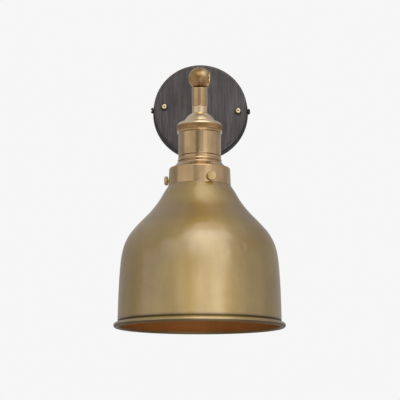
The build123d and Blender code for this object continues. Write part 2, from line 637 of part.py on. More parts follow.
# porcelain insulator inside the sleeve
with BuildPart() as socket_insulator:
    with BuildSketch(LAMP):
        with BuildLine():
            Polyline(
                (0, -49.7), (18.3, -49.7), (18.3, -90.6), (17.6, -91.2), (15.2, -91.2), (14.6, -90.6), (14.6, -61.2),
                (0, -61.2), close=True)
        make_face()
    revolve(axis=LAMP_AXIS)
    with BuildSketch(level(-56.0)):
        with Locations((-8, 0), (8, 0)):
            Circle(1.6)
    extrude(amount=10, mode=Mode.SUBTRACT)
socket_insulator.part.label = "socket_insulator"
export_step(socket_insulator.part, "parts/socket_insulator.step")

# wire screws on top of the insulator
with BuildPart() as socket_screws:
    with BuildSketch(level(-55.5)):
        with Locations((-8, 0), (8, 0)):
            Circle(1.55)
    extrude(amount=5.8)
    with BuildSketch(level(-49.7)):
        with Locations((-8, 0), (8, 0)):
            Circle(2.6)
    extrude(amount=2.0)
    with BuildSketch(level(-48.5)):
        with Locations((-8, 0), (8, 0)):
            Rectangle(0.7, 7)
    extrude(amount=2.0, mode=Mode.SUBTRACT)
socket_screws.part.label = "socket_screws"
export_step(socket_screws.part, "parts/socket_screws.step")

# threaded brass shell of the socket
with BuildPart() as screw_shell:
    with BuildSketch(LAMP):
        with BuildLine():
            Polyline(
                (9.0, -61.3), (SHELL_R, -61.3), (SHELL_R, -89.0), (SHELL_BORE_R + 0.3, -89.0), (SHELL_BORE_R, -88.4),
                (SHELL_BORE_R, -62.0), (9.0, -62.0), close=True)
        make_face()
    revolve(axis=LAMP_AXIS)
screw_shell.part.label = "screw_shell"
export_step(screw_shell.part, "parts/screw_shell.step")

# sprung centre contact of the socket
with BuildPart() as centre_contact:
    with BuildSketch(Plane(origin=(0, AXIS_Y - 3.0, 0), x_dir=(1, 0, 0), z_dir=(0, 1, 0))):
        with BuildLine():
            Polyline(
                (-6.5, 61.25), (-3.0, 61.25), (-1.5, 62.6), (2.6, 62.6), (3.4, 62.0), (3.9, 62.5), (2.9, 63.2),
                (-1.8, 63.2), (-3.3, 61.85), (-6.5, 61.85), close=True)
        make_face()
    extrude(amount=6.0)
centre_contact.part.label = "centre_contact"
export_step(centre_contact.part, "parts/centre_contact.step")

# two-core lead inside the neck
with BuildPart() as head_lead:
    with BuildSketch(level(-47.0)):
        Circle(LEAD_R)
    extrude(amount=34.2)
    fillet(head_lead.edges(), 0.4)
head_lead.part.label = "head_lead"
export_step(head_lead.part, "parts/head_lead.step")


# spun bell shade: fitter neck, flared shoulder, near-straight skirt, bead
def inner_points(points, t):
    """Points moved inwards, square to the profile, by the wall thickness."""
    moved = []
    for i, (r, z) in enumerate(points):
        r0, z0 = points[max(i - 1, 0)]
        r1, z1 = points[min(i + 1, len(points) - 1)]
        dr, dz = r1 - r0, z1 - z0
        n = sqrt(dr * dr + dz * dz)
        moved.append((r + t * dz / n, z - t * dr / n))
    return moved


SHADE_INNER = inner_points(SHADE_PROFILE, SHADE_T)
SHADE_INNER[0] = (31.4, -114.25)
SHADE_INNER[-1] = (SHADE_PROFILE[-1][0] - 0.75, SHADE_PROFILE[-1][1])
with BuildPart() as shade:
    with BuildSketch(LAMP):
        with BuildLine():
            Polyline(
                (FITTER_R - SHADE_T, FITTER_TOP), (FITTER_R + 1.0, FITTER_TOP), (FITTER_R + 1.0, FITTER_TOP - 1.0),
                (FITTER_R, FITTER_TOP - 1.6), (FITTER_R, -112.1), (29.2, -113.05), SHADE_PROFILE[0])
            Spline(*SHADE_PROFILE)
            Line(SHADE_PROFILE[-1], SHADE_INNER[-1])
            Spline(*reversed(SHADE_INNER))
            Polyline(SHADE_INNER[0], (28.4, -113.7), (FITTER_R - SHADE_T, -112.7), (FITTER_R - SHADE_T, FITTER_TOP))
        make_face()
    revolve(axis=LAMP_AXIS)
    with BuildSketch(LAMP):
        with Locations((BEAD_R, BEAD_Z)):
            Circle(BEAD_TUBE_R)
    revolve(axis=LAMP_AXIS)
shade.part.label = "shade"
export_step(shade.part, "parts/shade.step")

# bulb: brass cap, black insulator, tip contact, glass, stem and filaments
with BuildPart() as bulb_cap:
    with BuildSketch(LAMP):
        with BuildLine():
            Polyline(
                (12.0, -67.0), (12.6, -67.0), (BULB_CAP_R, -67.8), (BULB_CAP_R, -89.2), (BULB_CAP_R + 0.3, -89.9),
                (12.7, -89.9), (12.7, -68.2), (12.0, -68.2), close=True)
        make_face()
    revolve(axis=LAMP_AXIS)
bulb_cap.part.label = "bulb_cap"
export_step(bulb_cap.part, "parts/bulb_cap.step")

with BuildPart() as bulb_cap_insulator:
    with BuildSketch(LAMP):
        with BuildLine():
            Polyline((0, -64.6), (4.4, -64.6), (11.9, -67.0), (11.9, -68.2), (0, -68.2), close=True)
        make_face()
    revolve(axis=LAMP_AXIS)
bulb_cap_insulator.part.label = "bulb_cap_insulator"
export_step(bulb_cap_insulator.part, "parts/bulb_cap_insulator.step")

with BuildPart() as bulb_tip_contact:
    with BuildSketch(LAMP):
        with BuildLine():
            Polyline((0, -64.6), (0, -63.4), (2.6, -63.4))
            ThreePointArc((2.6, -63.4), (3.7, -63.8), (4.2, -64.6))
            Line((4.2, -64.6), (0, -64.6))
        make_face()
    revolve(axis=LAMP_AXIS)
bulb_tip_contact.part.label = "bulb_tip_contact"
export_step(bulb_tip_contact.part, "parts/bulb_tip_contact.step")

GLASS_PROFILE = [
    (12.6, -90.0), (13.4, -96.0), (16.4, -105.5), (21.8, -117.0), (27.0, -128.5), (29.8, -141.0), (28.4, -154.0),
    (22.6, -164.6), (12.5, -170.2), (0.0, -171.8),
]
GLASS_INNER = [
    (11.8, -90.0), (12.5, -96.2), (15.6, -105.9), (21.0, -117.4), (26.2, -128.7), (29.0, -141.0), (27.7, -153.6),
    (22.1, -163.9), (12.2, -169.4), (0.0, -171.0),
]
with BuildPart() as bulb_glass:
    with BuildSketch(LAMP):
        with BuildLine():
            Line((11.8, -74.0), (12.6, -74.0))
            Line((12.6, -74.0), GLASS_PROFILE[0])
            Spline(*GLASS_PROFILE, tangents=[(0, -1), (-1, 0)])
            Line(GLASS_PROFILE[-1], GLASS_INNER[-1])
            Spline(*reversed(GLASS_INNER), tangents=[(1, 0), (0, 1)])
            Line(GLASS_INNER[0], (11.8, -74.0))
        make_face()
    revolve(axis=LAMP_AXIS)
bulb_glass.part.label = "bulb_glass"
export_step(bulb_glass.part, "parts/bulb_glass.step")

with BuildPart() as bulb_stem:
    with BuildSketch(LAMP):
        with BuildLine():
            Polyline(
                (0, -74.0), (11.7, -74.0), (11.7, -76.0), (6.5, -84.0), (4.0, -92.0), (3.4, -110.0), (1.2, -113.0),
                (1.2, -150.0), (0, -150.0), close=True)
        make_face()
    revolve(axis=LAMP_AXIS)
bulb_stem.part.label = "bulb_stem"
export_step(bulb_stem.part, "parts/bulb_stem.step")

# four straight filaments on a wire ring at each end
with BuildPart() as bulb_filament:
    with BuildSketch(level(-148.0)):
        with PolarLocations(7.5, 4):
            Circle(0.9)
    extrude(amount=36.0)
    with BuildSketch(level(-148.6)):
        Circle(8.6)
        Circle(6.4, mode=Mode.SUBTRACT)
    extrude(amount=0.6)
    with BuildSketch(level(-112.0)):
        Circle(8.6)
        Circle(6.4, mode=Mode.SUBTRACT)
    extrude(amount=0.6)
    with BuildSketch(level(-148.6)):
        Rectangle(14.0, 0.8)
        Circle(1.25, mode=Mode.SUBTRACT)
    extrude(amount=0.6)
    with BuildSketch(level(-112.0)):
        Rectangle(14.0, 0.8)
        Circle(3.5, mode=Mode.SUBTRACT)
    extrude(amount=0.6)
bulb_filament.part.label = "bulb_filament"
export_step(bulb_filament.part, "parts/bulb_filament.step")

# ============================================================ thumb screws
# round heads with fine straight grooves, on plain shanks in the gallery
TEETH = 30


def tooth_points():
    """Outline of the grooved head, crest and root in turn."""
    points = []
    for i in range(2 * TEETH):
        rad = THUMB_HEAD_R if i % 2 == 0 else THUMB_HEAD_R - 0.22
        points.append((rad * cos(pi * i / TEETH), rad * sin(pi * i / TEETH)))
    return points


for number, (angle, height) in enumerate(zip(THUMB_ANGLES, THUMB_Z), start=1):
    a = radians(angle)
    outward = (sin(a), -cos(a), 0)
    centre = (0, AXIS_Y, height)
    with BuildPart() as thumb_screw:
        with BuildSketch(Plane(origin=centre, x_dir=outward, z_dir=(-cos(a), -sin(a), 0))):
            with BuildLine():
                Polyline(
                    (THUMB_TIP, 0), (THUMB_TIP, 1.2), (THUMB_TIP + 0.4, THUMB_SHANK_R), (THUMB_SHOULDER, THUMB_SHANK_R),
                    (THUMB_SHOULDER, THUMB_HEAD_R - 0.45), (THUMB_FACE - 0.35, THUMB_HEAD_R - 0.45),
                    (THUMB_FACE, THUMB_HEAD_R - 0.8), (THUMB_FACE, 0), close=True)
            make_face()
        revolve(axis=Axis(centre, outward))
        head_plane = Plane(
            origin=(outward[0] * (THUMB_SHOULDER + 0.35), AXIS_Y + outward[1] * (THUMB_SHOULDER + 0.35), height),
            x_dir=(0, 0, 1), z_dir=outward)
        with BuildSketch(head_plane):
            with BuildLine():
                Polyline(*tooth_points(), close=True)
            make_face()
        extrude(amount=THUMB_FACE - THUMB_SHOULDER - 0.8)
    thumb_screw.part.label = f"thumb_screw_{number}"
    export_step(thumb_screw.part, f"parts/thumb_screw_{number}.step")
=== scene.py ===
import json
import math
from math import cos, pi, radians, sin, sqrt, tan

import bmesh
import bpy
from mathutils import Matrix, Vector, noise


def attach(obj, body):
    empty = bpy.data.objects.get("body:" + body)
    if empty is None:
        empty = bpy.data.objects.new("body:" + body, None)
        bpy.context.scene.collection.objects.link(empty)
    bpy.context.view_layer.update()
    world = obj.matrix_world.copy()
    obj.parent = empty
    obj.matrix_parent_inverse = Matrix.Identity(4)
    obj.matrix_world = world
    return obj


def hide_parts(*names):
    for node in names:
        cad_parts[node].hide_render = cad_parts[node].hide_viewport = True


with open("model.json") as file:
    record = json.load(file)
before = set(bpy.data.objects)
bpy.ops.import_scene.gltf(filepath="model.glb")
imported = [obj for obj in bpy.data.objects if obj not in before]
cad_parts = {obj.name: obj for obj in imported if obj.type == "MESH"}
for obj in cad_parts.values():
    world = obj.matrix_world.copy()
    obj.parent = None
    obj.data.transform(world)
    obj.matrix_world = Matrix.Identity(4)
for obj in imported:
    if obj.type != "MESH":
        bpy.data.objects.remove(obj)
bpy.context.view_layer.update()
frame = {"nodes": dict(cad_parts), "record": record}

scene = bpy.context.scene
NODES = frame["nodes"]
MM = 0.001
AXIS_Y = -172.0                      # vertical axis of the lamp head, millimetres from the wall

# ------------------------------------------------------------------ camera
cam_data = bpy.data.cameras.new("camera")
cam_data.sensor_fit = "HORIZONTAL"
cam_data.sensor_width = 36.0
cam_data.lens = 142.98
cam_data.clip_start = 0.02
cam_data.clip_end = 60.0
cam = bpy.data.objects.new("camera", cam_data)
cam.location = (0.0090, -1.772, -0.3842)
cam.rotation_euler = (radians(90 + 9.128), 0.0, radians(0.31))
scene.collection.objects.link(cam)
scene.camera = cam

scene.view_settings.view_transform = "Standard"
scene.view_settings.look = "None"
scene.view_settings.exposure = 0.0
scene.view_settings.gamma = 1.0


# ------------------------------------------------------------- small helpers
class Graph:
    """Short ways to add nodes to one node tree."""

    def __init__(self, tree):
        self.tree = tree
        tree.nodes.clear()

    def add(self, kind, **inputs):
        n = self.tree.nodes.new(kind)
        for key, value in inputs.items():
            self.put(n, key, value)
        return n

    def put(self, n, key, value):
        sock = n.inputs[key]
        if isinstance(value, bpy.types.NodeSocket):
            self.tree.links.new(value, sock)
        else:
            sock.default_value = value

    def math(self, op, a, b=0.0, clamp=False):
        n = self.tree.nodes.new("ShaderNodeMath")
        n.operation = op
        n.use_clamp = clamp
        self.put(n, 0, a)
        if op not in ("SINE", "COSINE", "ABSOLUTE", "ARCSINE", "SQRT", "FRACT", "ROUND"):
            self.put(n, 1, b)
        return n.outputs[0]

    def span(self, value, a, b, lo=0.0, hi=1.0, smooth=True):
        n = self.tree.nodes.new("ShaderNodeMapRange")
        n.interpolation_type = "SMOOTHSTEP" if smooth else "LINEAR"
        n.clamp = True
        self.put(n, "Value", value)
        self.put(n, "From Min", a)
        self.put(n, "From Max", b)
        self.put(n, "To Min", lo)
        self.put(n, "To Max", hi)
        return n.outputs["Result"]

    def mix(self, fac, a, b, blend="MIX"):
        n = self.tree.nodes.new("ShaderNodeMix")
        n.data_type = "RGBA"
        n.blend_type = blend
        n.clamp_factor = True
        self.put(n, 0, fac)
        self.put(n, 6, rgba(a) if isinstance(a, tuple) else a)
        self.put(n, 7, rgba(b) if isinstance(b, tuple) else b)
        return n.outputs[2]

    def ramp(self, fac, stops):
        n = self.tree.nodes.new("ShaderNodeValToRGB")
        el = n.color_ramp.elements
        while len(el) < len(stops):
            el.new(0.5)
        for e, (p, c) in zip(el, stops):
            e.position = p
            e.color = rgba(c)
        self.put(n, 0, fac)
        return n.outputs[0]

    def noise(self, vec, scale=1.0, detail=3.0, rough=0.5, distort=0.0):
        n = self.tree.nodes.new("ShaderNodeTexNoise")
        n.noise_dimensions = "3D"
        self.put(n, "Vector", vec)
        self.put(n, "Scale", scale)
        self.put(n, "Detail", detail)
        self.put(n, "Roughness", rough)
        self.put(n, "Distortion", distort)
        return n.outputs["Fac"] if "Fac" in n.outputs else n.outputs[0]

    def vec(self, vector, scale=(1, 1, 1), loc=(0, 0, 0), rot=(0, 0, 0)):
        n = self.tree.nodes.new("ShaderNodeMapping")
        self.put(n, "Vector", vector)
        n.inputs["Location"].default_value = loc
        n.inputs["Rotation"].default_value = rot
        n.inputs["Scale"].default_value = scale
        return n.outputs[0]

    def bump(self, height, strength, distance, normal=None):
        n = self.tree.nodes.new("ShaderNodeBump")
        n.inputs["Strength"].default_value = strength
        n.inputs["Distance"].default_value = distance
        self.put(n, "Height", height)
        if normal is not None:
            self.put(n, "Normal", normal)
        return n.outputs[0]


def rgba(c):
    return (c[0], c[1], c[2], 1.0)


def grey(v):
    return (v, v, v)


# ------------------------------------------------------- studio light and floor
# soft panels round the lamp: azimuth from, to (from the front towards +X), elevation from, to, edge softness
# in azimuth and elevation, radiance
PANELS = [
    (-190, -90, -60, 18, 2, 4, 0.35), (-90, -50, -60, 18, 2, 4, 0.72), (-50, -21, -60, 18, 2, 4, 0.56),
    (20, 46, -60, 18, 2, 4, 0.50), (46, 66, -60, 18, 2, 4, 0.66),
    (66, 100, -60, 18, 4, 4, 0.57), (100, 190, -60, 18, 4, 4, 0.40),
    (-190, -60, 18, 38, 2, 4, 0.48), (-60, -16, 18, 38, 2, 4, 1.0), (-16, 0, 18, 38, 2, 4, 1.8),
    (0, 14, 18, 38, 2, 4, 2.1), (14, 46, 18, 38, 2, 4, 1.75),
    (46, 75, 18, 38, 2, 4, 0.65), (75, 190, 18, 38, 2, 4, 0.36),
    (-190, -60, 38, 60, 3, 4, 0.52), (-60, -30, 38, 60, 3, 4, 0.48), (-30, -12, 38, 60, 3, 4, 1.6),
    (-12, 32, 38, 60, 3, 4, 2.4), (32, 60, 38, 60, 3, 4, 1.7),
    (60, 110, 38, 60, 3, 4, 0.58), (110, 190, 38, 60, 3, 4, 0.42),
    (-190, -50, 60, 78, 3, 4, 0.45), (-50, -25, 60, 78, 3, 4, 0.30), (-25, 45, 60, 83, 4, 2, 1.1),
    (45, 92, 60, 82, 4, 3, 0.78), (92, 110, 60, 78, 4, 4, 0.36), (110, 190, 60, 78, 3, 4, 0.28),
    (-190, 190, 78, 100, 3, 4, 0.13), (140, 178, 50, 68, 4, 4, 0.35),
]
LOW_FRONT = 1.3
FRONT = 0.79
FRONT_UPPER = 0.73
COOL = (0.84, 1.0, 1.18)


def build_world():
    world = bpy.data.worlds.new("studio")
    scene.world = world
    world.use_nodes = True
    g = Graph(world.node_tree)
    out = g.add("ShaderNodeOutputWorld")
    tc = g.add("ShaderNodeTexCoord")
    sep = g.add("ShaderNodeSeparateXYZ", Vector=tc.outputs["Generated"])
    x, y, z = sep.outputs
    az = g.math("MULTIPLY", g.math("ARCTAN2", x, g.math("MULTIPLY", y, -1.0)), 180 / pi)
    el = g.math("MULTIPLY", g.math("ARCSINE", z), 180 / pi)

    def panel(a0, a1, e0, e1, sa, se, power):
        box = g.math("MULTIPLY", g.span(az, a0 - sa, a0 + sa), g.span(az, a1 - sa, a1 + sa, 1.0, 0.0))
        boy = g.math("MULTIPLY", g.span(el, e0 - se, e0 + se), g.span(el, e1 - se, e1 + se, 1.0, 0.0))
        return g.math("MULTIPLY", g.math("MULTIPLY", box, boy), power)

    total = 0.0
    for p in PANELS:
        total = g.math("ADD", total, panel(*p))
    lit = g.add("ShaderNodeBackground", Strength=1.0)
    comb = g.add("ShaderNodeCombineColor", Red=total, Green=total, Blue=total)
    g.put(lit, "Color", comb.outputs[0])
    seen = g.add("ShaderNodeBackground", Color=rgba(grey(0.9216)), Strength=1.0)
    path = g.add("ShaderNodeLightPath")
    both = g.add("ShaderNodeMixShader")
    g.put(both, 0, path.outputs["Is Camera Ray"])
    g.put(both, 1, lit.outputs[0])
    g.put(both, 2, seen.outputs[0])
    g.put(out, "Surface", both.outputs[0])


build_world()


def area_light(name, az, el, dist, width, height, radiance, tint=(1.0, 1.0, 1.0)):
    """Soft box seen from the lamp at that azimuth (from the front towards +X) and elevation."""
    target = Vector((0.0, AXIS_Y * MM, -0.13))
    a, e = radians(az), radians(el)
    where = target + dist * Vector((sin(a) * cos(e), -cos(a) * cos(e), sin(e)))
    data = bpy.data.lights.new(name, "AREA")
    data.shape = "RECTANGLE"
    data.size, data.size_y = width, height
    data.energy = 4.0 * width * height * radiance
    data.color = tint
    ob = bpy.data.objects.new(name, data)
    ob.location = where
    ob.rotation_euler = (target - where).to_track_quat("-Z", "Y").to_euler()
    ob.visible_camera = False
    scene.collection.objects.link(ob)
    return ob


area_light("low_front_panel", 14.0, -30.0, 1.35, 1.1, 1.0, LOW_FRONT)
area_light("front_panel", 13.5, -4.0, 1.0, 0.69, 0.36, FRONT, COOL)
area_light("front_left_panel", -17.0, -4.0, 1.0, 0.43, 0.36, 0.36)
area_light("front_upper_panel", 21.5, 9.8, 1.0, 0.80, 0.12, FRONT_UPPER, (0.93, 1.0, 1.05))
area_light("front_mid_panel", -4.0, 6.0, 1.0, 0.24, 0.08, 0.4, COOL)

floor_mesh = bpy.data.meshes.new("floor")
floor_mesh.from_pydata(
    [(-14, -14, -2.2), (14, -14, -2.2), (14, 14, -2.2), (-14, 14, -2.2)], [], [(0, 1, 2, 3)])
floor = bpy.data.objects.new("floor", floor_mesh)
scene.collection.objects.link(floor)
floor_mat = bpy.data.materials.new("pale_floor")
floor_mat.use_nodes = True
fg = Graph(floor_mat.node_tree)
f_out = fg.add("ShaderNodeOutputMaterial")
f_bsdf = fg.add("ShaderNodeBsdfPrincipled", Roughness=0.9)
f_tc = fg.add("ShaderNodeTexCoord")
fg.put(f_bsdf, "Base Color", fg.ramp(fg.noise(f_tc.outputs["Object"], 1.5, 4.0),
                                     [(0.3, grey(0.86)), (0.7, grey(0.9))]))
fg.put(f_out, "Surface", f_bsdf.outputs[0])
floor_mesh.materials.append(floor_mat)


# --------------------------------------------------------------- materials
STUDS = [(-40.8, 4.2), (42.5, -0.5)]     # nuts on the wall plate: across, up


class Metal(Graph):
    """A material with a principled shader and object coordinates in millimetres."""

    def __init__(self, name):
        self.mat = bpy.data.materials.new(name)
        self.mat.use_nodes = True
        super().__init__(self.mat.node_tree)
        self.out = self.add("ShaderNodeOutputMaterial")
        self.bsdf = self.add("ShaderNodeBsdfPrincipled")
        self.put(self.out, "Surface", self.bsdf.outputs[0])
        self.tc = self.add("ShaderNodeTexCoord")
        self.p = self.vec(self.tc.outputs["Object"], (1000, 1000, 1000))
        s = self.add("ShaderNodeSeparateXYZ", Vector=self.p)
        self.x, self.y, self.z = s.outputs

    def set(self, **kw):
        for key, value in kw.items():
            self.put(self.bsdf, key.replace("_", " "), value)
        return self

    def crevice(self, distance_mm, samples=6):
        n = self.add("ShaderNodeAmbientOcclusion")
        n.samples = samples
        n.only_local = False
        n.inputs["Distance"].default_value = distance_mm * MM
        return n.outputs["AO"]


def turned_brass(name, light, mid, dark, roughness=0.28, lines="z", crevice_shade=0.5, coat=1.0):
    """Aged brass from the lathe: fine lines round the axis, soft patina, and painted shade darkening the crevices."""
    m = Metal(name)
    m.set(Metallic=1.0, Anisotropic=0.1, Anisotropic_Rotation=0.25)
    m.set(Coat_Weight=coat, Coat_Roughness=0.18, Coat_IOR=1.6)
    cloud = m.noise(m.p, 0.045, 4.0, 0.5)
    fine = m.noise(m.p, 0.3, 4.0, 0.55)
    stretch = {"z": (0.03, 0.03, 5.0), "y": (0.03, 5.0, 0.03), "x": (5.0, 0.03, 0.03)}[lines]
    ring = m.noise(m.vec(m.p, stretch), 1.0, 3.0, 0.6)
    tone = m.math("ADD", m.math("MULTIPLY", cloud, 0.93), m.math("MULTIPLY", fine, 0.07))
    col = m.ramp(tone, [(0.34, dark), (0.5, mid), (0.66, light)])
    col = m.mix(m.math("MULTIPLY", m.span(ring, 0.4, 0.75), 0.12), col, dark)
    speck = m.span(m.noise(m.p, 0.9, 2.0, 0.5), 0.72, 0.82)
    col = m.mix(m.math("MULTIPLY", speck, 0.08), col, (dark[0] * 0.55, dark[1] * 0.5, dark[2] * 0.45))
    # Painted shade: darker in crevices and where parts meet, by ambient occlusion.
    ao = m.crevice(1.4)
    col = m.mix(m.math("MULTIPLY", m.span(ao, 0.85, 0.35), crevice_shade), col, (dark[0] * 0.40, dark[1] * 0.33, dark[2] * 0.24))
    m.set(Base_Color=col)
    m.set(Roughness=m.math("ADD", m.span(tone, 0.3, 0.7, roughness + 0.015, roughness - 0.015),
                           m.math("MULTIPLY", ring, 0.03)))
    tan_node = m.add("ShaderNodeTangent")
    tan_node.direction_type = "RADIAL"
    tan_node.axis = lines.upper()
    m.put(m.bsdf, "Tangent", tan_node.outputs[0])
    m.set(Normal=m.bump(ring, 0.05, 0.00001))
    return m.mat


def spun_brass(name, inside=False, painted_shadow=False):
    """Satin antique brass of the spun shade: outside, inside, or the uncoated dark band at the bead that carries
    painted shadow.
    """
    m = Metal(name)
    # The inside takes a darker, redder copy of the outside brass with no coat: painted shade and inter-reflection of
    # the bowl's inside.
    if inside:
        light, mid, dark = (0.32, 0.120, 0.026), (0.288, 0.104, 0.021), (0.25, 0.087, 0.017)
    else:
        light, mid, dark = (0.462, 0.303, 0.060), (0.412, 0.262, 0.047), (0.352, 0.213, 0.035)
    if inside:
        m.set(Metallic=0.35, Specular_IOR_Level=0.2)
    elif painted_shadow:
        m.set(Metallic=1.0, Anisotropic=0.6, Anisotropic_Rotation=0.25)
    else:
        m.set(Metallic=1.0, Anisotropic=0.6, Anisotropic_Rotation=0.25)
        m.set(Coat_Weight=1.0, Coat_Roughness=0.22, Coat_IOR=2.15)
    cloud = m.noise(m.p, 0.022, 4.0, 0.55, 0.4)
    drift = m.noise(m.vec(m.p, (0.06, 0.06, 0.012)), 1.0, 4.0, 0.6)
    fine = m.noise(m.p, 0.22, 6.0, 0.62)
    tone = m.math("ADD", m.math("ADD", m.math("MULTIPLY", cloud, 0.45), m.math("MULTIPLY", drift, 0.35)),
                  m.math("MULTIPLY", fine, 0.2))
    col = m.ramp(tone, [(0.36, dark), (0.5, mid), (0.64, light)])
    ring = m.noise(m.vec(m.p, (0.012, 0.012, 3.2)), 1.0, 4.0, 0.7)
    col = m.mix(m.math("MULTIPLY", m.span(ring, 0.45, 0.75), 0.14), col, dark)
    speck = m.span(m.noise(m.p, 0.75, 2.0, 0.5), 0.7, 0.8)
    col = m.mix(m.math("MULTIPLY", speck, 0.35), col, (dark[0] * 0.6, dark[1] * 0.55, dark[2] * 0.5))
    # Painted shade: darker in crevices, by ambient occlusion.
    ao = m.crevice(2.5)
    crevice_shade = m.math("MULTIPLY", m.span(ao, 0.85, 0.3), 0.3 if inside else 0.55)
    if not inside:
        # Painted shade: the upper cone, between heights -132 and -159, is mixed towards a darker, browner brass.
        band = m.math("MULTIPLY", m.span(m.z, -132.0, -141.0), m.span(m.z, -150.0, -159.0, 1.0, 0.0))
        col = m.mix(m.math("MULTIPLY", band, 0.5), col, (dark[0] * 0.88, dark[1] * 0.80, dark[2] * 1.1))
        # Painted shadow: a dark band in the crease just above the bead, darker still in the uncoated band material.
        edge = m.math("MULTIPLY", m.span(m.z, -247.6, -250.9), m.span(m.z, -251.7, -252.5, 1.0, 0.0))
        crevice_shade = m.math("MAXIMUM", crevice_shade, m.math("MULTIPLY", edge, 0.95 if painted_shadow else 0.85))
    col = m.mix(crevice_shade, col, (0.105, 0.074, 0.032) if painted_shadow else (dark[0] * 0.45, dark[1] * 0.38, dark[2] * 0.28))
    # Painted shade: the lower side of the bead is mixed towards a dark colour.
    under = m.math("MULTIPLY", m.span(m.z, -254.9, -255.7), 0.6 if inside else 0.9)
    col = m.mix(under, col, (0.11, 0.050, 0.014) if inside else (0.13, 0.092, 0.050))
    m.set(Base_Color=col)
    m.set(Roughness=m.math("ADD", m.span(tone, 0.3, 0.7, 0.59, 0.51), m.math("MULTIPLY", m.span(fine, 0.4, 0.7), 0.04)))
    t = m.add("ShaderNodeTangent")
    t.direction_type = "RADIAL"
    t.axis = "Z"
    m.put(m.bsdf, "Tangent", t.outputs[0])
    n1 = m.bump(ring, 0.2, 0.00005)
    n2 = m.bump(m.noise(m.p, 1.6, 4.0, 0.6), 0.08, 0.0001, n1)
    m.set(Normal=n2)
    return m.mat


def cast_brass(name):
    """Reddish cast brass of the ball knuckle, lightly mottled, with a painted highlight at the upper right and painted
    shade on its lower centre and in crevices.
    """
    m = Metal(name)
    m.set(Metallic=1.0, Coat_Weight=0.6, Coat_Roughness=0.3, Coat_IOR=1.5)
    big = m.noise(m.p, 0.16, 5.0, 0.6, 0.3)
    small = m.noise(m.p, 0.9, 5.0, 0.65)
    tone = m.math("ADD", m.math("MULTIPLY", big, 0.65), m.math("MULTIPLY", small, 0.35))
    col = m.ramp(tone, [(0.36, (0.262, 0.138, 0.040)), (0.47, (0.357, 0.203, 0.066)), (0.56, (0.435, 0.266, 0.094)),
                        (0.66, (0.53, 0.353, 0.146))])
    red = m.span(m.noise(m.vec(m.p, (1, 1, 1), (31, 7, 5)), 0.22, 3.0, 0.5), 0.55, 0.72)
    col = m.mix(m.math("MULTIPLY", red, 0.4), col, (0.36, 0.165, 0.07))
    # Painted shade: a dark patch on the ball's lower centre.
    dx, dz = m.math("MULTIPLY", m.math("SUBTRACT", m.x, 0.8), 1.15), m.math("MULTIPLY", m.math("ADD", m.z, 8.5), 0.5)
    low = m.math("SQRT", m.math("ADD", m.math("MULTIPLY", dx, dx), m.math("MULTIPLY", dz, dz)))
    low = m.math("ADD", low, m.math("MULTIPLY", m.math("SUBTRACT", big, 0.5), 6.0))
    col = m.mix(m.math("MULTIPLY", m.span(low, 7.8, 1.5), 0.85), col, (0.12, 0.056, 0.016))
    # Painted highlight: a light patch on the upper right of the ball's front half.
    wx, wz = m.math("SUBTRACT", m.x, 5.6), m.math("MULTIPLY", m.math("SUBTRACT", m.z, 4.0), 0.75)
    painted_highlight = m.math("SQRT", m.math("ADD", m.math("MULTIPLY", wx, wx), m.math("MULTIPLY", wz, wz)))
    painted_highlight = m.math("ADD", painted_highlight, m.math("MULTIPLY", m.math("SUBTRACT", small, 0.5), 4.0))
    painted_highlight = m.math("MULTIPLY", m.span(painted_highlight, 4.6, 0.8), m.span(m.y, AXIS_Y - 2.0, AXIS_Y - 5.0))
    col = m.mix(m.math("MULTIPLY", painted_highlight, 0.75), col, (0.80, 0.62, 0.34))
    # Painted shade: darker in crevices, by ambient occlusion.
    ao = m.crevice(1.2)
    col = m.mix(m.math("MULTIPLY", m.span(ao, 0.8, 0.3), 0.35), col, (0.10, 0.042, 0.014))
    m.set(Base_Color=col)
    m.set(Roughness=m.span(tone, 0.35, 0.65, 0.46, 0.34))
    n1 = m.bump(small, 0.25, 0.00012)
    n2 = m.bump(big, 0.15, 0.0004, n1)
    m.set(Normal=n2)
    return m.mat


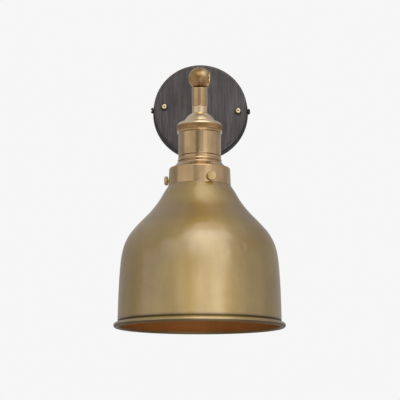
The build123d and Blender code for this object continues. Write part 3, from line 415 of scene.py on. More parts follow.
def dark_brushed(name):
    """Dark pewter steel of the wall plate, brushed up and down."""
    m = Metal(name)
    m.set(Metallic=1.0, Coat_Weight=0.12, Coat_Roughness=0.4)
    streak = m.noise(m.vec(m.p, (0.95, 0.6, 0.035)), 1.0, 5.0, 0.62, 0.15)
    broad = m.noise(m.vec(m.p, (0.16, 0.12, 0.018)), 1.0, 3.0, 0.5)
    cloud = m.noise(m.p, 0.035, 4.0, 0.55)
    tone = m.math("ADD", m.math("ADD", m.math("MULTIPLY", streak, 0.45), m.math("MULTIPLY", broad, 0.35)),
                  m.math("MULTIPLY", cloud, 0.2))
    col = m.ramp(tone, [(0.36, (0.055, 0.047, 0.045)), (0.5, (0.103, 0.092, 0.089)), (0.64, (0.174, 0.158, 0.155))])
    scratch = m.span(m.noise(m.vec(m.p, (2.6, 1.2, 0.02)), 1.0, 2.0, 0.5), 0.66, 0.76)
    col = m.mix(m.math("MULTIPLY", scratch, 0.3), col, (0.24, 0.225, 0.22))
    rim = m.span(m.y, -17.8, -16.4)
    col = m.mix(m.math("MULTIPLY", rim, 0.85), col, (0.014, 0.013, 0.012))
    # Painted shade: a thin dark ring near the plate's rounded edge, at a radius of about 50 mm.
    away = m.math("SQRT", m.math("ADD", m.math("MULTIPLY", m.x, m.x), m.math("MULTIPLY", m.z, m.z)))
    edge_line_shadow = m.math("MULTIPLY", m.span(away, 49.6, 50.1), m.span(away, 50.3, 50.8, 1.0, 0.0))
    col = m.mix(m.math("MULTIPLY", edge_line_shadow, 0.55), col, (0.022, 0.020, 0.019))
    # Painted shadow: a dark patch just below each nut on the plate.
    for sx, sz in STUDS:
        dx, dz = m.math("SUBTRACT", m.x, sx - 0.3), m.math("SUBTRACT", m.z, sz - 1.1)
        near = m.math("SQRT", m.math("ADD", m.math("MULTIPLY", dx, dx), m.math("MULTIPLY", dz, dz)))
        near = m.math("ADD", near, m.math("MULTIPLY", m.math("SUBTRACT", streak, 0.5), 2.0))
        col = m.mix(m.math("MULTIPLY", m.span(near, 5.0, 3.0), 0.75), col, (0.020, 0.013, 0.009))
    # Painted shade: darker in crevices and where parts meet the plate, by ambient occlusion.
    ao = m.crevice(2.5)
    col = m.mix(m.math("MULTIPLY", m.span(ao, 0.8, 0.3), 0.7), col, (0.02, 0.018, 0.017))
    m.set(Base_Color=col)
    m.set(Roughness=m.math("ADD", m.span(tone, 0.35, 0.65, 0.46, 0.36), m.math("MULTIPLY", rim, 0.3)))
    n1 = m.bump(streak, 0.25, 0.00006)
    m.set(Normal=n1)
    return m.mat


def plain(name, light, dark, metallic=0.0, rough=(0.35, 0.5), scale=0.4, bump=0.1, bump_mm=0.08, stretch=(1, 1, 1), **kw):
    """A surface with a fine two-tone grain and a matching roughness."""
    m = Metal(name)
    m.set(Metallic=metallic, **kw)
    a = m.noise(m.vec(m.p, stretch), scale, 5.0, 0.6)
    b = m.noise(m.vec(m.p, stretch, (13, 5, 9)), scale * 0.2, 3.0, 0.5)
    tone = m.math("ADD", m.math("MULTIPLY", a, 0.6), m.math("MULTIPLY", b, 0.4))
    m.set(Base_Color=m.ramp(tone, [(0.36, dark), (0.64, light)]))
    m.set(Roughness=m.span(tone, 0.35, 0.65, rough[1], rough[0]))
    m.set(Normal=m.bump(a, bump, bump_mm * MM))
    return m.mat


def nut_brass(name):
    """Bright brass of the small nuts, dark in the dimple."""
    m = Metal(name)
    m.set(Metallic=1.0, Coat_Weight=0.6, Coat_Roughness=0.2, Coat_IOR=1.5)
    a = m.noise(m.p, 0.8, 4.0, 0.6)
    col = m.ramp(a, [(0.36, (0.80, 0.62, 0.33)), (0.5, (0.92, 0.76, 0.46)), (0.64, (0.97, 0.85, 0.58))])
    hole = m.math("MULTIPLY", m.span(m.y, -20.75, -20.4), m.span(m.y, -19.7, -20.0))
    inner = None
    for sx, sz in STUDS:
        dx, dz = m.math("SUBTRACT", m.x, sx), m.math("SUBTRACT", m.z, sz)
        near = m.math("SQRT", m.math("ADD", m.math("MULTIPLY", dx, dx), m.math("MULTIPLY", dz, dz)))
        inner = near if inner is None else m.math("MINIMUM", inner, near)
    col = m.mix(m.math("MULTIPLY", m.math("MULTIPLY", hole, m.span(inner, 1.3, 0.9)), 0.8), col, (0.20, 0.12, 0.03))
    m.set(Base_Color=col)
    m.set(Roughness=m.span(a, 0.35, 0.65, 0.36, 0.26))
    m.set(Normal=m.bump(a, 0.08, 0.00005))
    return m.mat


def clear_glass(name):
    m = Metal(name)
    m.set(Metallic=0.0, Transmission_Weight=1.0, IOR=1.47)
    tint = m.noise(m.p, 0.05, 2.0, 0.5)
    m.set(Base_Color=m.ramp(tint, [(0.3, (0.97, 0.955, 0.92)), (0.7, (0.985, 0.975, 0.95))]))
    m.set(Roughness=m.span(m.noise(m.p, 0.3, 3.0, 0.5), 0.4, 0.8, 0.0, 0.03))
    return m.mat


TURNED = turned_brass("turned_aged_brass", (0.65, 0.445, 0.235), (0.605, 0.405, 0.207), (0.52, 0.333, 0.158), 0.2, coat=0.6)
CAP_BRASS = turned_brass("lampholder_cap_brass", (0.83, 0.63, 0.38), (0.77, 0.57, 0.33), (0.67, 0.47, 0.245), 0.28, crevice_shade=0.6)
# Painted highlight: a lighter copy of the brass for the knurled ring's rounded shoulder.
SHOULDER_HIGHLIGHT_BRASS = turned_brass("shoulder_highlight_brass", (0.86, 0.69, 0.46), (0.81, 0.63, 0.40), (0.73, 0.54, 0.32), 0.3, crevice_shade=0.0)
RING_BRASS = turned_brass("knurled_brass", (0.37, 0.225, 0.093), (0.318, 0.185, 0.072), (0.255, 0.14, 0.05), 0.34, crevice_shade=0.9, coat=0.35)
NECK = turned_brass("turned_neck_brass", (0.62, 0.43, 0.22), (0.555, 0.37, 0.175), (0.47, 0.295, 0.126), 0.22, crevice_shade=0.4, coat=0.8)
ARM = turned_brass("turned_arm_brass", (0.58, 0.41, 0.215), (0.53, 0.365, 0.185), (0.46, 0.30, 0.14), 0.28, lines="y")
SCREW_BRASS = turned_brass("screw_brass", (0.58, 0.43, 0.19), (0.51, 0.365, 0.15), (0.42, 0.28, 0.10), 0.34, crevice_shade=0.6, coat=0.5)
SHADE_OUT = spun_brass("spun_satin_brass")
SHADE_IN = spun_brass("spun_brass_inside", True)
SHADE_PAINTED_SHADOW = spun_brass("spun_brass_painted_shadow", painted_shadow=True)
CAST = cast_brass("cast_brass")
PIVOT = turned_brass("pivot_brass", (0.50, 0.37, 0.19), (0.44, 0.31, 0.15), (0.36, 0.24, 0.10), 0.4, "x", crevice_shade=0.5, coat=0.4)
PLATE = dark_brushed("dark_brushed_steel")
BLACK_STEEL = plain("black_oxide_steel", (0.03, 0.029, 0.028), (0.012, 0.012, 0.012), 0.9, (0.28, 0.42))
NUT_BRASS = nut_brass("nut_brass")
BRIGHT = plain("bright_brass", (0.86, 0.68, 0.37), (0.70, 0.51, 0.24), 1.0, (0.16, 0.26), 0.5, 0.08, 0.05)
ZINC = plain("zinc_plated_steel", (0.66, 0.66, 0.64), (0.50, 0.50, 0.49), 1.0, (0.25, 0.38), 0.3, 0.08, 0.05)
RUBBER = plain("black_rubber", (0.030, 0.029, 0.028), (0.016, 0.016, 0.015), 0.0, (0.55, 0.75), 1.2, 0.3, 0.08)
WHITE = plain("white_plastic", (0.80, 0.79, 0.74), (0.72, 0.70, 0.65), 0.0, (0.35, 0.5), 0.6, 0.1, 0.05)
SHEATH = plain("lead_sheath", (0.040, 0.038, 0.036), (0.022, 0.021, 0.020), 0.0, (0.45, 0.6), 1.0, 0.2, 0.05)
PORCELAIN = plain("porcelain", (0.86, 0.84, 0.79), (0.80, 0.77, 0.71), 0.0, (0.10, 0.2), 0.2, 0.05, 0.05,
                  Coat_Weight=0.5, Coat_Roughness=0.05)
NICKEL = plain("nickel_plate", (0.72, 0.69, 0.64), (0.58, 0.55, 0.50), 1.0, (0.22, 0.34), 0.4, 0.08, 0.05)
BLACK_GLASS = plain("black_glass", (0.02, 0.02, 0.022), (0.008, 0.008, 0.009), 0.0, (0.06, 0.15), 0.5, 0.05, 0.04)
GLASS = clear_glass("clear_glass")
FILAMENT = plain("filament_coating", (0.88, 0.66, 0.18), (0.78, 0.54, 0.10), 0.0, (0.6, 0.8), 1.5, 0.3, 0.08)

SLOT_MATERIAL = {
    "blackened_steel": PLATE, "black_steel": BLACK_STEEL, "aged_brass": TURNED, "satin_brass": SHADE_OUT,
    "cast_brass": CAST, "bright_brass": BRIGHT, "zinc_steel": ZINC, "black_rubber": RUBBER, "white_plastic": WHITE,
    "lead_sheath": SHEATH, "porcelain": PORCELAIN, "nickel": NICKEL, "black_glass": BLACK_GLASS,
    "clear_glass": GLASS, "filament": FILAMENT,
}
for part in frame["record"]["subparts"]:
    mesh = NODES[part["node"]].data
    mesh.materials.clear()
    mesh.materials.append(SLOT_MATERIAL[part["material_slot"]])


# ------------------------------------------------------------ mesh building
def head_axis(r, h, a):
    """Point about the lamp axis: radius, height, angle from the front towards +X."""
    return (r * sin(a) * MM, (AXIS_Y - r * cos(a)) * MM, h * MM)


def wall_axis(r, d, a):
    """Point about the arm axis: radius, distance from the wall, angle."""
    return (r * cos(a) * MM, -d * MM, r * sin(a) * MM)


def pivot_axis(r, x, a):
    """Point about the knuckle's pivot axis: radius, place along X, angle."""
    return (x * MM, (AXIS_Y + r * cos(a)) * MM, r * sin(a) * MM)


def radial_axis(angle, height):
    """Points about a line that leaves the lamp axis at that angle and height."""
    a = radians(angle)
    u = Vector((sin(a), -cos(a), 0.0))
    s = Vector((cos(a), sin(a), 0.0))

    def place(r, h, b):
        q = u * h + s * (r * cos(b)) + Vector((0, 0, r * sin(b)))
        return (q.x * MM, (AXIS_Y + q.y) * MM, (height + q.z) * MM)
    return place


def rounded(points, n=4, closed=True):
    """Outline with its corners rounded. A point is (r, h) or (r, h, corner radius)."""
    out = []
    count = len(points)
    for i, p in enumerate(points):
        r, h = p[0], p[1]
        f = p[2] if len(p) > 2 else 0.0
        if f <= 0.0 or (not closed and i in (0, count - 1)):
            out.append((r, h))
            continue
        a, b = points[i - 1], points[(i + 1) % count]
        ua, ub = Vector((a[0] - r, a[1] - h)), Vector((b[0] - r, b[1] - h))
        la, lb = ua.length, ub.length
        ua.normalize()
        ub.normalize()
        ang = math.acos(max(-1.0, min(1.0, ua.dot(ub))))
        if ang > pi - 0.02:
            out.append((r, h))
            continue
        t = min(f / tan(ang / 2), 0.47 * la, 0.47 * lb)
        f = t * tan(ang / 2)
        c = Vector((r, h)) + (ua + ub).normalized() * (f / sin(ang / 2))
        p1, p2 = Vector((r, h)) + ua * t - c, Vector((r, h)) + ub * t - c
        a1 = math.atan2(p1.y, p1.x)
        d = math.atan2(p2.y, p2.x) - a1
        while d > pi:
            d -= 2 * pi
        while d < -pi:
            d += 2 * pi
        out.extend((c.x + f * cos(a1 + d * k / n), c.y + f * sin(a1 + d * k / n)) for k in range(n + 1))
    return out


def arc(p0, pm, p1, n):
    """Points on the circle through three points, both ends included."""
    (x0, y0), (x1, y1), (x2, y2) = p0, pm, p1
    d = 2 * (x0 * (y1 - y2) + x1 * (y2 - y0) + x2 * (y0 - y1))
    s0, s1, s2 = x0 * x0 + y0 * y0, x1 * x1 + y1 * y1, x2 * x2 + y2 * y2
    cx = (s0 * (y1 - y2) + s1 * (y2 - y0) + s2 * (y0 - y1)) / d
    cy = (s0 * (x2 - x1) + s1 * (x0 - x2) + s2 * (x1 - x0)) / d
    rad = math.hypot(x0 - cx, y0 - cy)
    a0, am, a1 = (math.atan2(y - cy, x - cx) for x, y in (p0, pm, p1))

    def turn(a):
        while a > pi:
            a -= 2 * pi
        while a < -pi:
            a += 2 * pi
        return a
    d = turn(am - a0) + turn(a1 - am)
    return [(cx + rad * cos(a0 + d * k / n), cy + rad * sin(a0 + d * k / n)) for k in range(n + 1)]


def spline(points, step):
    """Natural cubic curve through points, sampled about every step."""
    n = len(points)
    t = [0.0]
    for a, b in zip(points, points[1:]):
        t.append(t[-1] + math.dist(a, b))
    out = []
    coef = []
    for axis in (0, 1):
        v = [p[axis] for p in points]
        h = [t[i + 1] - t[i] for i in range(n - 1)]
        low, dia, up, rhs = [0.0] * n, [1.0] * n, [0.0] * n, [0.0] * n
        for i in range(1, n - 1):
            low[i], dia[i], up[i] = h[i - 1], 2 * (h[i - 1] + h[i]), h[i]
            rhs[i] = 6 * ((v[i + 1] - v[i]) / h[i] - (v[i] - v[i - 1]) / h[i - 1])
        for i in range(1, n):
            w = low[i] / dia[i - 1]
            dia[i] -= w * up[i - 1]
            rhs[i] -= w * rhs[i - 1]
        m = [0.0] * n
        m[-1] = rhs[-1] / dia[-1]
        for i in range(n - 2, -1, -1):
            m[i] = (rhs[i] - up[i] * m[i + 1]) / dia[i]
        coef.append((v, h, m))
    total = max(2, int(round(t[-1] / step)))
    for k in range(total + 1):
        s = t[-1] * k / total
        i = min(n - 2, max(j for j in range(n - 1) if t[j] <= s + 1e-9))
        point = []
        for v, h, m in coef:
            a, b = t[i + 1] - s, s - t[i]
            point.append((m[i] * a ** 3 + m[i + 1] * b ** 3) / (6 * h[i])
                         + (v[i] / h[i] - m[i] * h[i] / 6) * a + (v[i + 1] / h[i] - m[i + 1] * h[i] / 6) * b)
        out.append(tuple(point))
    return out


def lathe(name, outline, place, seg=96, closed=True, warp=None, materials=(), index=None):
    """Turned piece: the outline of (r, h) points swept round. Points with r = 0 are poles."""
    verts, faces, rings, mids = [], [], [], []
    for i, (r, h) in enumerate(outline):
        if r < 1e-6:
            rings.append([len(verts)])
            verts.append(place(0.0, h, 0.0))
            continue
        ring = []
        for k in range(seg):
            a = 2 * pi * k / seg
            rr, hh = warp(r, h, a, i) if warp else (r, h)
            ring.append(len(verts))
            verts.append(place(rr, hh, a))
        rings.append(ring)
    pairs = list(zip(range(len(rings)), range(1, len(rings))))
    if closed:
        pairs.append((len(rings) - 1, 0))
    for i, j in pairs:
        a, b = rings[i], rings[j]
        which = index(i, j) if index else 0
        if len(a) == 1 and len(b) == 1:
            continue
        for k in range(seg):
            q = (k + 1) % seg
            if len(a) == 1:
                faces.append((a[0], b[k], b[q]))
            elif len(b) == 1:
                faces.append((a[k], b[0], a[q]))
            else:
                faces.append((a[k], b[k], b[q], a[q]))
            mids.append(which)
    mesh = bpy.data.meshes.new(name)
    mesh.from_pydata(verts, [], faces)
    mesh.polygons.foreach_set("material_index", mids)
    bm = bmesh.new()
    bm.from_mesh(mesh)
    bmesh.ops.recalc_face_normals(bm, faces=bm.faces)
    bm.to_mesh(mesh)
    bm.free()
    ob = bpy.data.objects.new(name, mesh)
    scene.collection.objects.link(ob)
    for mat in materials:
        mesh.materials.append(mat)
    return ob


def smooth(ob, angle=32.0, weighted=True):
    mesh = ob.data
    mesh.polygons.foreach_set("use_smooth", [True] * len(mesh.polygons))
    mesh.set_sharp_from_angle(angle=radians(angle))
    if weighted:
        mod = ob.modifiers.new("even_normals", "WEIGHTED_NORMAL")
        mod.mode = "FACE_AREA"
        mod.weight = 50
        mod.keep_sharp = True
    return ob


def merge(obs, name):
    """Joins pieces into one object and removes the rest."""
    bm = bmesh.new()
    for ob in obs:
        bm.from_mesh(ob.data)
    mats = list(obs[0].data.materials)
    for ob in obs:
        data = ob.data
        bpy.data.objects.remove(ob)
        bpy.data.meshes.remove(data)
    mesh = bpy.data.meshes.new(name)
    bm.to_mesh(mesh)
    bm.free()
    for mat in mats:
        mesh.materials.append(mat)
    ob = bpy.data.objects.new(name, mesh)
    scene.collection.objects.link(ob)
    return ob


def cut(ob, cutters):
    """Cuts holes and slots in a piece and removes the cutting shapes."""
    for c in cutters:
        mod = ob.modifiers.new("cut", "BOOLEAN")
        mod.operation = "DIFFERENCE"
        mod.solver = "EXACT"
        mod.object = c
    dg = bpy.context.evaluated_depsgraph_get()
    mesh = bpy.data.meshes.new_from_object(ob.evaluated_get(dg))
    ob.modifiers.clear()
    old = ob.data
    ob.data = mesh
    mesh.name = ob.name
    bpy.data.meshes.remove(old)
    for c in cutters:
        data = c.data
        bpy.data.objects.remove(c)
        bpy.data.meshes.remove(data)
    return ob


def rod(name, a, b, radius, seg=40):
    """Plain cylinder between two points in metres, used to cut holes."""
    a, b = Vector(a), Vector(b)
    w = (b - a).normalized()
    u = w.orthogonal().normalized()
    v = w.cross(u)
    verts = []
    for base in (a, b):
        verts += [base + radius * (u * cos(2 * pi * k / seg) + v * sin(2 * pi * k / seg)) for k in range(seg)]
    faces = [tuple(range(seg))[::-1], tuple(range(seg, 2 * seg))]
    faces += [(k, (k + 1) % seg, seg + (k + 1) % seg, seg + k) for k in range(seg)]
    mesh = bpy.data.meshes.new(name)
    mesh.from_pydata([tuple(p) for p in verts], [], faces)
    ob = bpy.data.objects.new(name, mesh)
    scene.collection.objects.link(ob)
    return ob


def brick(name, centre, half, rot):
    """Box with the given half sizes, turned by a matrix, used to cut slots."""
    verts = []
    for sx in (-1, 1):
        for sy in (-1, 1):
            for sz in (-1, 1):
                verts.append(tuple(Vector(centre) + rot @ Vector((sx * half[0], sy * half[1], sz * half[2]))))
    faces = [(0, 1, 3, 2), (4, 6, 7, 5), (0, 4, 5, 1), (2, 3, 7, 6), (0, 2, 6, 4), (1, 5, 7, 3)]
    mesh = bpy.data.meshes.new(name)
    mesh.from_pydata(verts, [], faces)
    ob = bpy.data.objects.new(name, mesh)
    scene.collection.objects.link(ob)
    return ob


def stand_for(ob, node, body):
    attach(ob, body)
    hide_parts(node)
    return ob


# ------------------------------------------------------------------- shade
SHADE_PROFILE = [
    (31.9, -113.05), (36.3, -119.8), (39.9, -126.1), (43.9, -132.2), (48.7, -138.4), (54.3, -144.6), (60.35, -150.8),
    (66.05, -157.0), (70.85, -163.1), (74.4, -169.3), (76.85, -175.4), (78.9, -183.6), (80.25, -193.8), (81.15, -206.0),
    (81.9, -222.3), (82.45, -238.5), (82.65, -254.8),
]
BEAD_R, BEAD_Z, BEAD_T = 84.2, -255.2, 2.6


def inner_points(points, t):
    moved = []
    for i, (r, z) in enumerate(points):
        r0, z0 = points[max(i - 1, 0)]
        r1, z1 = points[min(i + 1, len(points) - 1)]
        dr, dz = r1 - r0, z1 - z0
        n = sqrt(dr * dr + dz * dz)
        moved.append((r + t * dz / n, z - t * dr / n))
    return moved


# small dents: angle from the front, height, radius and depth in millimetres
DENTS = [(33.0, -184.0, 2.7, 0.42), (5.5, -180.5, 2.4, 0.20), (19.0, -189.0, 3.0, 0.12), (15.0, -193.5, 2.2, 0.10),
         (-46.0, -214.0, 4.0, 0.20), (58.0, -226.0, 3.0, 0.18), (-140.0, -190.0, 5.0, 0.28), (112.0, -205.0, 4.0, 0.22),
         (171.0, -231.0, 3.4, 0.20), (-95.0, -170.0, 3.5, 0.18)]


def build_shade():
    outer = [p for p in spline(SHADE_PROFILE, 1.5) if p[1] > -253.0]
    fitter = rounded([(28.9, -99.5), (29.3, -99.9, 0.3), (29.3, -100.4, 0.3), (28.3, -101.1, 0.4), (28.3, -112.1, 0.6),
                      (29.2, -113.05, 0.4), SHADE_PROFILE[0]], 4, closed=False)[:-1]
    bead = []
    start, stop = 134.0, 134.0 - 330.0
    for k in range(33):
        a = radians(start + (stop - start) * k / 32)
        bead.append((BEAD_R + BEAD_T * cos(a), BEAD_Z + BEAD_T * sin(a)))
    inner_all = inner_points(SHADE_PROFILE, 0.85)
    inner_all[0] = (31.4, -114.25)
    inner_all[-1] = (81.9, -254.8)
    inner = [p for p in spline(inner_all, 2.4) if p[1] > -253.4]
    inner.reverse()
    neck_in = rounded([inner_all[0], (28.4, -113.7, 0.5), (27.45, -112.7, 0.5), (27.45, -99.8, 0.0), (27.8, -99.5)], 4,
                      closed=False)[1:]
    outline = fitter + outer + bead + inner + neck_in
    n_out = len(fitter) + len(outer) + 14
    # Faces in the crease above the bead and on its lower side take the uncoated painted-shadow material.
    painted_shadow = [i for i in range(len(fitter), len(fitter) + len(outer)) if -252.4 < outline[i][1] < -249.9]
    painted_shadow += range(n_out, len(fitter) + len(outer) + 30)

    def warp(r, h, a, i):
        if h > -116.0:
            return r, h
        q = Vector((r * sin(a), r * cos(a), h))
        fade = min(1.0, (-116.0 - h) / 12.0)
        d = 0.10 * noise.noise(q * 0.034) + 0.035 * noise.noise(q * 0.11 + Vector((7, 3, 1)))
        d += 0.05 * sin(3 * a + 0.6) * min(1.0, max(0.0, (-150.0 - h) / 60.0))
        d *= fade
        for angle, z, size, depth in DENTS:
            da = (a - radians(angle) + pi) % (2 * pi) - pi
            s2 = (da * r) ** 2 + (h - z) ** 2
            if s2 < 9 * size * size:
                x = s2 / (size * size)
                d -= depth * math.exp(-x) * (1 - 0.35 * x)
        return r + d, h

    ob = lathe("shade_bell", outline, head_axis, 400, True, warp, (SHADE_OUT, SHADE_IN, SHADE_PAINTED_SHADOW),
               lambda i, j: 2 if i in painted_shadow else 0 if i < n_out else 1)
    smooth(ob, 38.0)
    return stand_for(ob, "shade", "lamp_head")


build_shade()


# --------------------------------------------------------------- lampholder
def build_knurled_ring():
    teeth, pitch, depth = 96, 1.52, 0.34
    lo, hi = -55.9, -51.15
    shoulder = arc((19.2, -46.7), (22.1, -48.3), (23.3, -51.2), 12)
    band = [(23.3, hi + (lo - hi) * k / 26) for k in range(1, 27)]
    low = rounded([band[-1], (23.3, -55.98, 0.05), (22.7, -56.2, 0.1), (22.7, -56.35, 0.08), (23.05, -56.65, 0.25),
                   (23.05, -57.5, 0.3), (22.7, -57.8, 0.2), (21.9, -57.8), (21.9, -49.6), (19.6, -49.6), (19.6, -48.0),
                   (16.7, -48.0), (16.7, -46.2, 0.15), (19.2, -46.7)], 4, closed=False)[1:-1]
    outline = shoulder + band + low
    knurl_end = len(shoulder) + len(band) - 1

    def warp(r, h, a, i):
        if not lo - 0.01 <= h <= hi + 0.45 or r < 22.9:
            return r, h
        t = a * teeth / (2 * pi)
        u, v = t + h / pitch, t - h / pitch
        d = min(abs(u - round(u)), abs(v - round(v))) * 2
        rise = min(1.0, d / 0.62)
        edge = min(1.0, max(0.0, (hi + 0.45 - h) / 0.6)) * min(1.0, max(0.0, (h - lo) / 0.3))
        return r - depth * (1 - rise) * edge, h

    # The shoulder takes the lighter brass copy as a painted highlight, the knurl the ring brass, and the lip the turned
    # brass.
    ob = lathe("knurled_collar", outline, head_axis, teeth * 8, True, warp, (RING_BRASS, SHOULDER_HIGHLIGHT_BRASS, TURNED),
               lambda i, j: 1 if i < len(shoulder) - 2 else 0 if i < knurl_end else 2)
    smooth(ob, 30.0)
    return stand_for(ob, "knurled_ring", "lamp_head")


build_knurled_ring()

# neck tube with a round seat for the ball and a shallow hollow across its top, from front to back
neck_outline = rounded(
    [(5.0, -9.2), (5.5, -9.2), (6.0, -9.2), (6.5, -9.2), (7.0, -9.2), (7.6, -9.2, 0.0), (8.0, -9.6, 0.3), (8.0, -29.75, 0.2), (7.75, -30.0, 0.05), (5.0, -30.0)], 5, closed=False)
neck_outline[6:6] = [(7.75, -9.25), (7.9, -9.4)]


def saddle(r, h, a, i):
    if h > -10.5:
        top = min(-9.2, 8.77 - sqrt(19.67 ** 2 - (r * sin(a)) ** 2), -sqrt(12.0 ** 2 - r ** 2))
        return r, h + 9.2 + top
    return r, h


neck = lathe("neck_sleeve", neck_outline, head_axis, 128, True, saddle, (NECK,))
stand_for(smooth(neck), "neck_tube", "lamp_head")

# boss and dome
dome_curve = arc((7.75, -36.9), (12.7, -40.6), (16.6, -46.5), 22)
dome_outline = (
    rounded([(5.0, -30.0), (7.5, -30.0, 0.1), (7.75, -30.3, 0.2), (7.75, -36.7)], 4, closed=False)
    + dome_curve
    + rounded([dome_curve[-1], (16.6, -48.05), (19.5, -48.05), (19.5, -49.4), (15.3, -49.4), (15.3, -47.0)], 3, False)[1:]
    + arc((15.3, -47.0), (11.6, -41.9), (7.0, -38.6), 10)[1:]
    + [(5.0, -38.6)])
dome = lathe("lampholder_cap", dome_outline, head_axis, 128, True, None, (CAP_BRASS,))
cut(dome, [rod("grub_hole", (0, (AXIS_Y + 2) * MM, -0.0332), (0, (AXIS_Y + 12) * MM, -0.0332), 0.00155)])
stand_for(smooth(dome), "lampholder_dome", "lamp_head")

# sleeve, with a real thread on its lower end
thread_pitch = 2.0
thread_rows = [(19.9, -82.35 - 0.25 * k) for k in range(69)]
sleeve_outline = (
    rounded([(20.4, -49.65), (21.85, -49.65, 0.2), (21.85, -57.75, 0.15), (21.0, -57.95, 0.1), (21.0, -58.65, 0.1),
             (21.85, -58.9, 0.2), (21.85, -82.0, 0.45), (20.3, -82.0, 0.1)], 5, False)
    + thread_rows
    + [(18.8, -99.5), (18.8, -80.0), (20.4, -78.5)])
row0 = len(sleeve_outline) - 3 - len(thread_rows)
row1 = row0 + len(thread_rows) - 1


def sleeve_warp(r, h, a, i):
    if row0 < i < row1:
        t = (h / thread_pitch + a / (2 * pi)) % 1.0
        return 19.9 - 0.7 * abs(2 * t - 1), h
    return r, h


sleeve = lathe("lampholder_barrel", sleeve_outline, head_axis, 144, True, sleeve_warp, (TURNED,))
stand_for(smooth(sleeve, 40.0), "lampholder_sleeve", "lamp_head")

# grooved ring above the gallery
ring_outline = rounded(
    [(19.95, -82.4), (21.5, -82.4, 0.1), (22.0, -82.9, 0.35), (22.0, -84.75, 0.06), (21.84, -84.9, 0.05), (21.84, -85.1, 0.05),
     (22.0, -85.25, 0.06), (22.5, -86.0, 0.4), (22.65, -86.5, 0.4), (22.65, -87.0, 0.25), (22.4, -87.35, 0.2), (21.4, -87.6, 0.1),
     (21.4, -88.0), (19.95, -88.0)], 4)
upper_ring = lathe("shade_ring_upper", ring_outline, head_axis, 128, True, None, (TURNED,))
stand_for(smooth(upper_ring), "upper_shade_ring", "lamp_head")

# stepped gallery with three screw holes
gallery_outline = (
    [(19.95, -88.0), (21.4, -88.0), (21.4, -88.45)]
    + rounded([(21.4, -88.45), (22.5, -88.65, 0.35), (23.15, -89.2, 0.5), (23.4, -89.75, 0.3), (23.45, -90.2, 0.12),
               (24.05, -90.55, 0.25), (25.0, -91.65), (26.6, -93.15, 1.6), (28.2, -94.05, 1.2), (29.8, -94.4)], 5, False)[1:]
    + arc((29.8, -94.4), (30.8, -94.95), (31.2, -96.0), 10)[1:]
    + rounded([(31.2, -96.0), (31.9, -112.9, 0.3), (30.9, -112.9, 0.3), (30.2, -96.3)], 4, False)[1:]
    + arc((30.2, -96.3), (30.0, -95.75), (29.5, -95.45), 6)[1:]
    + [(27.8, -95.05), (25.8, -93.95), (24.0, -91.95), (22.6, -90.6), (21.0, -89.3), (19.95, -89.3)])
THUMBS = [(20.9, -107.4), (-99.1, -106.4), (140.9, -106.4)]
gallery = lathe("shade_gallery", gallery_outline, head_axis, 144, True, None, (TURNED,))
holes = []
for number, (angle, height) in enumerate(THUMBS):
    place = radial_axis(angle, height)
    holes.append(rod("screw_hole_%d" % number, place(0, 26, 0), place(0, 36, 0), 0.00165))
cut(gallery, holes)
stand_for(smooth(gallery), "gallery", "lamp_head")


# thumb screws: round grooved heads with a slightly dished face
def build_thumb(number, angle, height):
    outline = (
        [(0.0, 28.5)]
        + rounded([(0.0, 28.5), (1.2, 28.5, 0.1), (1.6, 28.9, 0.1), (1.6, 33.2, 0.2), (4.2, 33.2, 0.15), (4.7, 33.6, 0.2),
                   (4.7, 35.65, 0.25), (4.05, 36.2, 0.25), (3.6, 36.2, 0.3), (2.9, 36.05, 0.4), (0.9, 36.02), (0.0, 36.02)],
                  4, False)[1:])

    def warp(r, h, a, i):
        if r > 4.35 and 33.3 < h < 36.0:
            return r - 0.11 * (1 - cos(30 * a)), h
        return r, h

    ob = lathe("thumb_%d" % number, outline, radial_axis(angle, height), 180, False, warp, (SCREW_BRASS,))
    smooth(ob, 40.0)
    return stand_for(ob, "thumb_screw_%d" % number, "thumb_screw_%d" % number)


for number, (angle, height) in enumerate(THUMBS, start=1):
    build_thumb(number, angle, height)

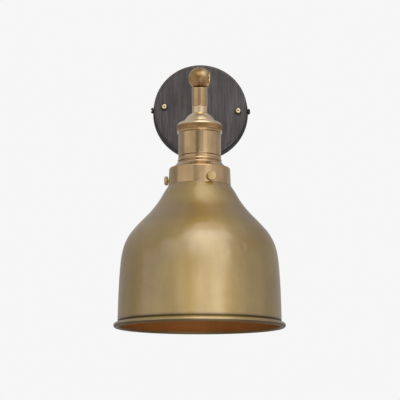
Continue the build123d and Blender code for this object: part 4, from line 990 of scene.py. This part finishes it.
# ---------------------------------------------------------------- wall side
pivot_outline = rounded(
    [(0.0, -10.2), (2.0, -10.2, 0.1), (2.45, -9.75, 0.1), (2.45, 9.35), (7.0, 9.35, 0.1), (7.0, 11.0, 0.8), (5.0, 11.0),
     (0.0, 11.0)], 6, False)
pivot = lathe("knuckle_screw", pivot_outline, pivot_axis, 96, False, None, (PIVOT,))
slot_turn = Matrix.Rotation(radians(80), 3, "X")
cut(pivot, [brick("slot", (0.0115, AXIS_Y * MM, 0), (0.0015, 0.009, 0.0008), slot_turn)])
stand_for(smooth(pivot), "pivot_screw", "wall_mount")

nuts = []
for number, (sx, sz) in enumerate(STUDS):
    def nut_axis(r, d, a, sx=sx, sz=sz):
        return ((sx + r * cos(a)) * MM, -d * MM, (sz + r * sin(a)) * MM)

    crown = arc((1.15, 21.0), (2.4, 20.55), (2.95, 19.4), 10)
    nut_outline = ([(0.0, 20.2), (0.85, 20.2), (0.95, 20.25), (1.05, 20.8), (1.1, 20.95)] + crown
                   + [(2.95, 18.1), (2.85, 18.0), (1.75, 18.0), (1.75, 19.7), (0.0, 19.7)])
    nuts.append(lathe("nut_%d" % number, nut_outline, nut_axis, 64, False, None, (NUT_BRASS,)))
stand_for(smooth(merge(nuts, "crown_nuts")), "front_nuts", "wall_mount")

flange_outline = (
    [(5.0, 18.0)] + rounded([(5.0, 18.0), (8.4, 18.0, 0.2), (8.4, 19.6)], 3, False)[1:]
    + arc((8.4, 19.6), (7.85, 21.0), (6.7, 22.0), 10)[1:] + [(5.0, 22.0)])
flange = lathe("arm_rose", flange_outline, wall_axis, 96, True, None, (ARM,))
stand_for(smooth(flange), "arm_flange", "wall_mount")

tube_outline = rounded([(5.0, 22.0), (6.5, 22.0, 0.2), (6.5, 157.8, 0.3), (6.0, 158.3, 0.2), (5.0, 158.3)], 4)
tube = lathe("arm_barrel", tube_outline, wall_axis, 96, True, None, (ARM,))
stand_for(smooth(tube), "arm_tube", "wall_mount")

# ------------------------------------------------------------------- scene update
bpy.context.view_layer.update()
